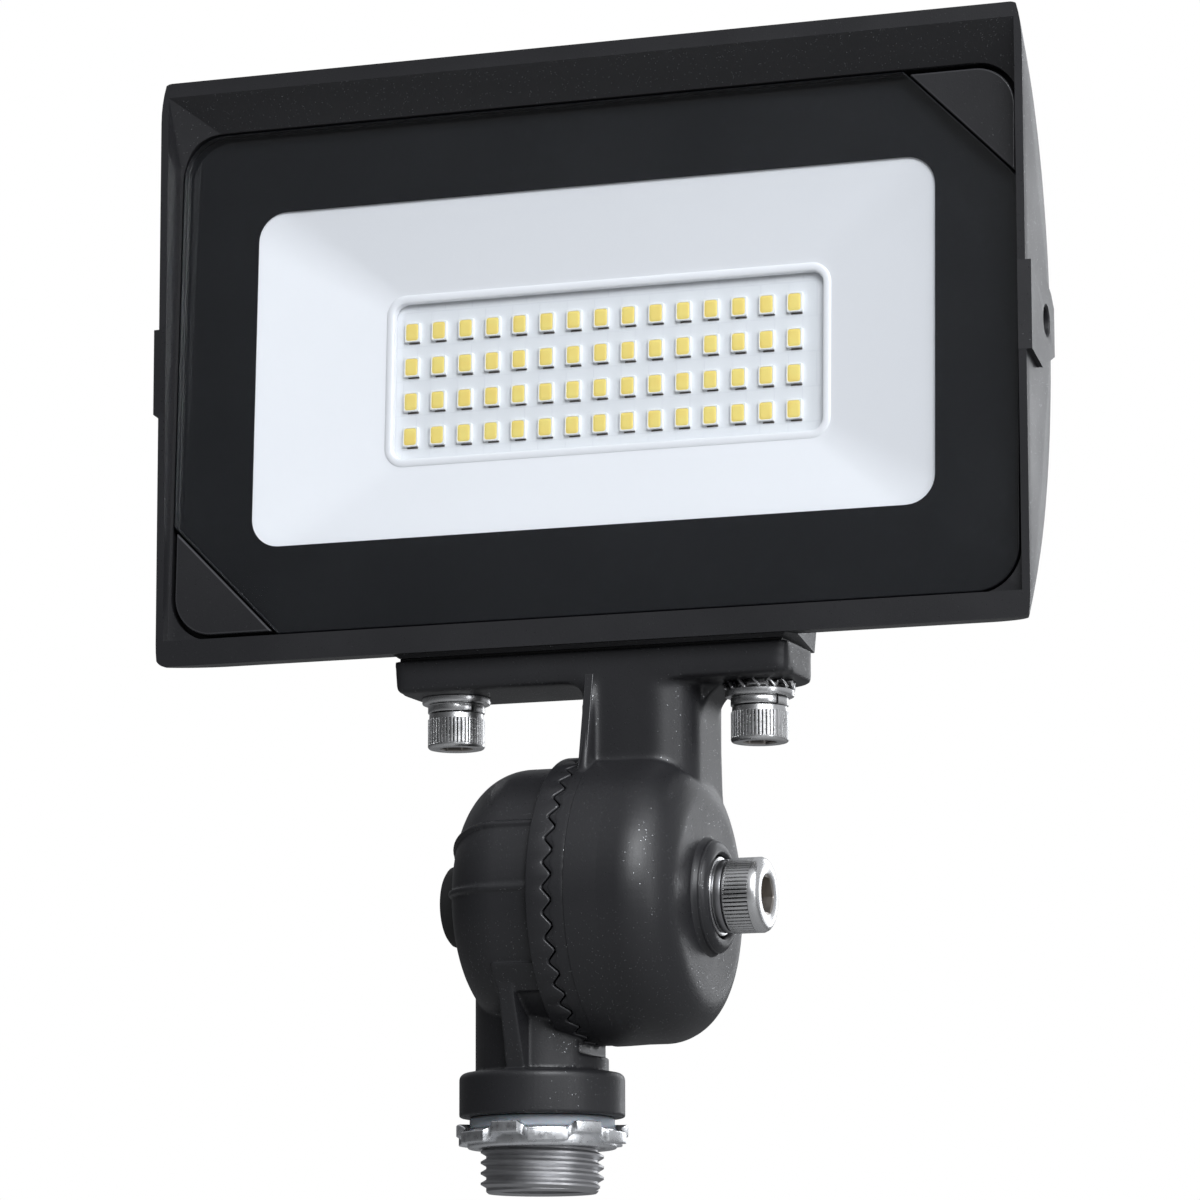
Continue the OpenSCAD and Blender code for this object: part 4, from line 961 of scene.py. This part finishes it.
def socket_screw(name, shank_r, length, head_r, head_h, across, ridges, foot, ring, matrix):
    """Socket head screw with a knurled head, a chamfered ring and a hexagon socket, with painted shade
    between the knurl's ridges.
    """
    # The third finish, near-black, goes between the knurl's ridges: painted shade.
    finishes = (plated(), metal("Socket walls", (0.42, 0.39, 0.36), 0.3, 0.5),
                metal("Painted shade in knurl valleys", (0.02, 0.02, 0.02), 0.4, 0.55))
    steps = 120
    knurl_depth = 0.42
    flat_to_corner = 1.155
    core_r = head_r - knurl_depth
    corner_r = across / 2 * flat_to_corner
    chamfer = ring * 0.55
    top = head_h - ring

    def hexagon(z):
        loop = []
        for i in range(steps):
            a = 360 * i / steps
            r = across / 2 / math.cos(math.radians((a + 30) % 60 - 30))
            loop.append((r * math.cos(math.radians(a)), r * math.sin(math.radians(a)), z))
        return loop

    profile = [
        (shank_r * 0.1, -length), (shank_r - 0.5, -length), (shank_r - 0.1, -length + 0.5),
        (shank_r - 0.1, -0.1), (shank_r + 0.2, 0), (head_r - 0.5, 0), (head_r - 0.25, 0.12),
        (head_r - 0.2, foot), (core_r, foot + 0.1), (core_r, top - 0.1), (head_r - 0.1, top),
        (head_r, top + 0.1), (head_r, head_h - chamfer), (head_r - chamfer * 0.25, head_h - chamfer * 0.45),
        (head_r - chamfer * 0.65, head_h - chamfer * 0.12), (head_r - chamfer * 1.2, head_h),
        (corner_r + 0.3, head_h), (corner_r + 0.06, head_h - 0.12)]
    loops = [circle_loop(r, z, steps) for r, z in profile]
    deep = head_h * 0.42
    loops += [hexagon(head_h - 0.3), hexagon(deep)]
    loops += [circle_loop(across * 0.3, deep - 0.2, steps), circle_loop(across * 0.03, deep - 0.7, steps)]
    body = loft(name + "_body", loops, around=False)
    for material in finishes:
        body.data.materials.append(material)
    for face in body.data.polygons:
        away = math.hypot(face.center.x, face.center.y) / MM
        z = face.center.z / MM
        if away < corner_r + 0.05 and 0 < z < head_h - 0.1:
            face.material_index = 1
        # Painted shade: near-black on the core between the knurl's ridges.
        if core_r - 0.1 < away < core_r + 0.05 and foot < z < top:
            face.material_index = 2
    pitch = 2 * math.pi * head_r / ridges
    foot_half, crest_half = 0.42 * pitch, 0.3 * pitch
    ridge = [[(core_r - 0.1, -foot_half, z), (head_r - 0.04, -crest_half, z), (head_r - 0.01, 0, z),
              (head_r - 0.04, crest_half, z), (core_r - 0.1, foot_half, z)] for z in (foot, top)]
    knurl = grow(loft(name + "_knurl", ridge, around=False), round_tree(), {
        "Count": ridges, "Step": 2 * math.pi / ridges, "Material": plated()})
    screw = join(name, [body, knurl])
    move_mesh(screw, matrix)
    return shade(screw, 32)


def split_washer(name, r_in, r_out, z0, z1, gap_at, matrix, material, rise=0.18):
    """Spring washer: a square section wound almost once, its ends a little apart."""
    section = rounded_profile(r_in, r_out, z0, z1, 0.16, 2)
    count = 72
    gap = math.radians(5)
    loops = []
    for i in range(count + 1):
        share = i / count
        angle = gap_at + gap / 2 + (2 * math.pi - gap) * share
        loops.append(turned(section, angle, rise * (share - 0.5)))
    return shade(paint(loft(name, loops, matrix, around=False), material), 40)


def flat_washer(name, r_in, r_out, z0, z1, matrix, material):
    """Punched washer with one rounded edge and one sharp one."""
    profile = [(r_in, z0 + 0.08), (r_in + 0.08, z0), (r_out - 0.1, z0), (r_out, z0 + 0.1), (r_out, z1 - 0.3),
               (r_out - 0.09, z1 - 0.09), (r_out - 0.3, z1), (r_in + 0.1, z1), (r_in, z1 - 0.1)]
    return shade(paint(lathe(name, profile, matrix), material), 30)


class FLOOD_OT_pivot_bolt(Step, bpy.types.Operator):
    """Pivot bolt with its two washers, and the plug at its far end"""
    bl_idname = "flood.pivot_bolt"
    bl_label = "Pivot bolt"

    def build(self, scene):
        bright = plated()
        spring = metal("Spring steel along X", (0.34, 0.34, 0.35), 0.28, 0.45, axis=(1, 0, 0))
        bolt = socket_screw(
            "pivot_screw_piece", shank_r=4.0, length=43.7, head_r=6.5, head_h=6.5, across=6.0,
            ridges=scene.flood_metal.knurl_count, foot=0.35, ring=1.8, matrix=along_pivot(34.7))
        place(bolt, "pivot_screw", "stainless", "pivot_bolt")
        split = split_washer(
            "pivot_split_washer", 4.2, 6.3, 33.1, 34.6, math.radians(200), along_pivot(0), spring, rise=0.1)
        place(split, "pivot_washers", "stainless", "pivot_spring_washer")
        plain = flat_washer("pivot_plain_washer", 4.2, 6.85, 31.42, 32.98, along_pivot(0), bright)
        place(plain, "pivot_washers", "stainless", "pivot_flat_washer")
        profile = [(0.3, -11.02), (7.0, -11.02), (7.2, -11.2), (7.2, -15.4), (7.0, -16.1), (6.5, -16.5),
                   (5.8, -16.6), (0.3, -16.6)]
        plug = lathe("plug_cap", profile, along_pivot(0), around=False)
        finish(plug, black_rubber(), 35, "base", "black_rubber", "end_plug")


class FLOOD_OT_bracket_bolts(Step, bpy.types.Operator):
    """The two screws under the plate with their washers"""
    bl_idname = "flood.bracket_bolts"
    bl_label = "Bracket bolts"

    def build(self, scene):
        bright = plated()
        toothed_washer_space = 1.5
        washers_height = 2.8
        stack = {"bracket_bolts": [], "bracket_spring_washers": [], "bracket_flat_washers": []}
        for side, x in enumerate(BRACKET_X):
            top = PLATE_UNDERSIDE - (toothed_washer_space if side else 0.0)
            down = Matrix.Translation((x * MM, BRACKET_Y * MM, top * MM)) @ Matrix.Rotation(math.pi, 4, "X")
            stack["bracket_flat_washers"].append(
                flat_washer("bracket_flat_%d" % side, 3.15, 6.0, 0.02, 1.18, down, bright))
            stack["bracket_spring_washers"].append(
                split_washer("bracket_spring_%d" % side, 3.15, 5.0, 1.3, 2.7, 0.6, down, bright, rise=0.12))
            stack["bracket_bolts"].append(socket_screw(
                "bracket_screw_%d" % side, shank_r=3.0, length=16, head_r=5.0, head_h=6.2, across=5.0,
                ridges=46, foot=1.0, ring=0.8, matrix=down @ Matrix.Translation((0, 0, washers_height * MM))))
        for node, parts in stack.items():
            piece = join(node + "_set", parts)
            place(shade(piece, 32), "head", "stainless", node)
        self.toothed_washer(bright)

    def toothed_washer(self, material):
        """Ring with twisted teeth that bite through the paint."""
        count = 14
        twist = math.radians(-48)
        middle_z = PLATE_UNDERSIDE - 0.75
        centre = Matrix.Translation((BRACKET_X[1] * MM, BRACKET_Y * MM, middle_z * MM))
        ring = paint(lathe("grounding_ring", rounded_profile(3.15, 4.6, -0.25, 0.25, 0.1, 2)), material)
        tooth = block("grounding_tooth", (4.2, -0.95, -0.22), (6.2, 0.95, 0.22), 0.08)
        move_mesh(tooth, Matrix.Rotation(twist, 4, "X"))
        teeth = grow(tooth, round_tree(), {"Count": count, "Step": 2 * math.pi / count, "Material": material})
        washer = join("grounding_washer_piece", [ring, teeth])
        move_mesh(washer, centre)
        place(shade(washer, 30), "head", "stainless", "grounding_washer")


class FLOOD_OT_glass(Step, bpy.types.Operator):
    """Front glass with inked edges, its printed border and the two gaskets"""
    bl_idname = "flood.glass"
    bl_label = "Glass"

    def build(self, scene):
        ink = grained("Black print", (0.004, 0.0045, 0.006, 1), (0.006, 0.0065, 0.008, 1), 0.3, 0.4, 0.0003,
                      0.05, Specular_IOR_Level=0.25)
        ground_edge = 0.25 * MM
        glass = eased(node_copy("front_glass", "glass_pane"), ground_edge, (clear_glass(), ink))
        facing = glass_frame().to_3x3() @ Vector((0, 1, 0))
        nearly_flat = 0.99
        for face in glass.data.polygons:
            face.material_index = 0 if abs(face.normal.dot(facing)) > nearly_flat else 1
        place(glass, "head", "clear_glass", "front_glass")
        outer, window = (155, 91.6, 6.0), (126, 61.2, 5.2)
        window_at = {"rise": 0.75, "shift": -0.55}
        front, back = 3.02, 3.14
        loops = frames((*outer, front)) + frames((*window, front), (*window, back), **window_at)
        loops += frames((*outer, back))
        finish(loft("printed_border", loops, glass_frame()), ink, 30, "head", "black_print", "glass_border")
        for node in ("glass_gasket", "bracket_gasket"):
            paint(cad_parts[node], black_rubber())


class FLOOD_OT_reflector(Step, bpy.types.Operator):
    """White reflector tray: four slopes that end in a raised bead round the board"""
    bl_idname = "flood.reflector"
    bl_label = "Reflector"

    def build(self, scene):
        lip = {"rise": -0.45, "shift": 1.2}
        loops = frames((136, 71.2, 7.0, 3.2), (129, 64.2, 7.4, 3.2), (128, 63.2, 7.0, 3.35))
        loops += frames((84.4, 33.0, 3.8, 7.0), (83.2, 31.8, 3.4, 7.12), **lip)
        loops += self.bead(lip)
        loops += frames((79.8, 28.4, 2.4, 7.6), (79.8, 28.4, 2.4, 8.3), (84.4, 33.0, 3.6, 8.38), **lip)
        loops += frames((129.5, 65, 7.0, 4.2), (136, 71.2, 7.0, 4.2))
        tray = loft("reflector_tray", loops, glass_frame())
        finish(tray, white_plastic(), 24, "head", "white_plastic", "reflector")

    def bead(self, lip):
        """Half-round bead at the foot of the slopes."""
        steps = 8
        half, height = 0.72, 0.24
        loops = []
        for i in range(steps + 1):
            a = math.radians(15 + 150 * i / steps)
            out = math.cos(a) * half
            row = (81.3 + 2 * out, 29.9 + 2 * out, 2.9 + out, 7.2 - height * math.sin(a))
            loops += frames(row, **lip)
        return loops


class FLOOD_OT_leds(Step, bpy.types.Operator):
    """The board and its LEDs: bodies, yellow windows and solder ends in rows and columns"""
    bl_idname = "flood.leds"
    bl_label = "Board and LEDs"

    def build(self, scene):
        optics = scene.flood_optics
        white = grained("LED plastic", (0.88, 0.88, 0.87, 1), (0.95, 0.95, 0.93, 1), 0.3, 0.45, 0.0004, 0.08)
        solder = grained(
            "Solder ends", (0.035, 0.024, 0.016, 1), (0.07, 0.05, 0.035, 1), 0.3, 0.5, 0.0002, 0.2)
        front = 8.6
        self.rows(optics, self.package(front), white, 0.0, "led_white", "led_packages")
        self.rows(optics, self.window(front), phosphor(), 0.0, "phosphor", "led_phosphors")
        end = block("led_solder", (-0.7, front - 0.16, -2.04), (1.35, front + 0.02, -1.8), 0.05)
        self.rows(optics, end, solder, 0.05 * MM, "led_white")
        paint(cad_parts["led_board"], board_print())

    def rows(self, optics, part, material, wander, slot, *nodes):
        """Copies a part over the board, whose middle lies a little below the glass's."""
        drop = 0.9
        grow(part, grid_tree(), {
            "Columns": optics.columns, "Rows": optics.rows, "Pitch X": optics.pitch_x,
            "Pitch Z": optics.pitch_z, "Wander": wander, "Material": material})
        move_mesh(part, glass_frame() @ Matrix.Translation((0, 0, -drop * MM)))
        place(shade(part, 35), "head", slot, *nodes)

    def package(self, front):
        """Moulded body with a rounded well for the phosphor."""
        loops = frames(
            (2.8, 3.5, 0.18, front), (2.8, 3.5, 0.18, front - 0.62), (2.68, 3.38, 0.16, front - 0.7),
            (2.36, 3.06, 0.42, front - 0.7), (2.26, 2.96, 0.4, front - 0.4), steps=2)
        return loft("led_bodies", loops, around=False)

    def window(self, front):
        """Slightly domed phosphor in the well."""
        loops = frames(
            (2.2, 2.9, 0.38, front - 0.3), (2.34, 3.04, 0.42, front - 0.62), (2.2, 2.9, 0.4, front - 0.665),
            (1.4, 2.0, 0.3, front - 0.68), steps=3)
        return loft("led_windows", loops, around=False)


class FLOOD_OT_inner_parts(Step, bpy.types.Operator):
    """Finishes for the parts hidden inside the housing and the knuckle"""
    bl_idname = "flood.inner_parts"
    bl_label = "Inner parts"

    def build(self, scene):
        finishes = {
            "knuckle_seal": black_rubber(),
            "thermal_pad": grained("Thermal pad", (0.42, 0.45, 0.5, 1), (0.5, 0.54, 0.58, 1), 0.6, 0.8,
                                   0.0006, 0.3),
            "led_driver": grained("Potting", (0.02, 0.02, 0.022, 1), (0.035, 0.035, 0.037, 1), 0.35, 0.6,
                                  0.0005, 0.25),
            "board_screws": plated(),
            "driver_screws": plated(),
            "driver_leads": grained("Red insulation", (0.35, 0.03, 0.025, 1), (0.48, 0.05, 0.04, 1), 0.35,
                                    0.5, 0.0004, 0.1)}
        for node, material in finishes.items():
            paint(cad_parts[node], material)


class FLOOD_OT_stage(Step, bpy.types.Operator):
    """Pale floor, room light, soft lights and the camera"""
    bl_idname = "flood.stage"
    bl_label = "Stage"

    def build(self, scene):
        settings = scene.flood_stage
        self.camera(scene, settings)
        self.floor(settings)
        self.room(scene, settings)
        self.light("front_right", (0.62, -0.95, 0.75), (0.7, 0.6), settings.front_power)
        self.light("strip_right", (0.95, -0.45, 0.50), (0.20, 1.2), settings.strip_power)
        self.light("back_right", (0.24, 1.00, 0.30), (0.30, 0.6), settings.back_power)
        scene.view_settings.view_transform = "Standard"

    def camera(self, scene, settings):
        """Camera that looks at the object from a little below, as in the photograph."""
        azimuth, elevation, roll = math.radians(19.99), math.radians(-9.34), math.radians(-0.13)
        back = Vector((math.sin(azimuth) * math.cos(elevation), -math.cos(azimuth) * math.cos(elevation),
                       math.sin(elevation)))
        data = bpy.data.cameras.new("camera")
        data.lens = settings.lens
        data.sensor_width = 36
        data.clip_start = 0.05
        data.clip_end = 20
        camera = new_object("camera", data)
        camera.location = (0.3280, -0.8720, -0.0499)
        look = (-back).to_track_quat("-Z", "Y").to_matrix().to_4x4()
        camera.rotation_euler = (look @ Matrix.Rotation(roll, 4, "Z")).to_euler()
        scene.camera = camera

    def floor(self, settings):
        """Large disc with a soft pale surface, paler to the camera than to the light."""
        hole, edge, under = 1, 4000, -40
        corners = ((hole, under), (edge, under), (edge, 0), (hole, 0))
        disc = lathe("floor", corners, Matrix.Translation((0, 0, settings.floor_z)), around=False)
        material, tree, shader = start_material("Pale floor", Roughness=0.8)
        rays = put(tree, "ShaderNodeLightPath").outputs
        seen = blend(tree, rays["Is Camera Ray"], (0.3, 0.3, 0.3, 1), (0.84, 0.84, 0.84, 1))
        tree.links.new(seen, shader.inputs["Base Color"])
        paint(disc, material)

    def room(self, scene, settings):
        """Room that is bright behind on the right, dark in front on the left, and white to the camera."""
        bright_way = (0.5, 0.2, 0.84)
        dark_until, bright_from = -0.45, 0.8
        world = bpy.data.worlds.new("room")
        scene.world = world
        world.use_nodes = True
        tree = world.node_tree
        tree.nodes.clear()
        way = put(tree, "ShaderNodeTexCoord").outputs["Generated"]
        light = put(tree, "ShaderNodeMapRange", {
            "Value": vector_maths(tree, "DOT_PRODUCT", way, bright_way), "From Min": dark_until,
            "From Max": bright_from, "To Min": settings.dark_side, "To Max": settings.bright_side},
            interpolation_type="SMOOTHSTEP").outputs[0]
        seen = put(tree, "ShaderNodeLightPath").outputs["Is Camera Ray"]
        sky = put(tree, "ShaderNodeBackground", {
            "Color": blend(tree, seen, (0.94, 0.96, 1.0, 1), (1, 1, 1, 1)),
            "Strength": blend_number(tree, seen, light, 1.0)})
        put(tree, "ShaderNodeOutputWorld", {"Surface": sky.outputs[0]})

    def light(self, name, spot, size, power):
        """Soft rectangular light that faces the middle of the object."""
        target = Vector((0.011, 0, 0.1))
        data = bpy.data.lights.new(name, "AREA")
        data.shape = "RECTANGLE"
        data.size, data.size_y = size
        data.energy = power
        data.color = (0.95, 0.97, 1.0)
        lamp = new_object(name, data)
        lamp.location = spot
        lamp.rotation_euler = (Vector(spot) - target).to_track_quat("Z", "Y").to_euler()


class FLOOD_PT_panel(bpy.types.Panel):
    """Lists the settings and the steps"""
    bl_idname = "FLOOD_PT_panel"
    bl_label = "Flood light"
    bl_space_type = "VIEW_3D"
    bl_region_type = "UI"
    bl_category = "Flood light"

    def draw(self, context):
        for name, kind in GROUPS.items():
            box = self.layout.box()
            box.label(text=name.replace("flood_", "").title())
            for key in kind.__annotations__:
                box.prop(getattr(context.scene, name), key)
        for step in STEPS:
            self.layout.operator(step.bl_idname)


STEPS = (FLOOD_OT_stage, FLOOD_OT_housing, FLOOD_OT_knuckle, FLOOD_OT_nipple, FLOOD_OT_locknut,
         FLOOD_OT_pivot_bolt, FLOOD_OT_bracket_bolts, FLOOD_OT_glass, FLOOD_OT_reflector, FLOOD_OT_leds,
         FLOOD_OT_inner_parts)
GROUPS = {"flood_paint": FloodPaint, "flood_knuckle": FloodKnuckle, "flood_metal": FloodMetal,
          "flood_optics": FloodOptics, "flood_stage": FloodStage}


def register():
    for name, group in GROUPS.items():
        bpy.utils.register_class(group)
        setattr(bpy.types.Scene, name, bpy.props.PointerProperty(type=group))
    for step in STEPS:
        bpy.utils.register_class(step)
    bpy.utils.register_class(FLOOD_PT_panel)


def unregister():
    bpy.utils.unregister_class(FLOOD_PT_panel)
    for step in reversed(STEPS):
        bpy.utils.unregister_class(step)
    for name, group in GROUPS.items():
        delattr(bpy.types.Scene, name)
        bpy.utils.unregister_class(group)


def main():
    register()
    for step in STEPS:
        area, name = step.bl_idname.split(".")
        getattr(getattr(bpy.ops, area), name)()


if __name__ == "__main__":
    main()
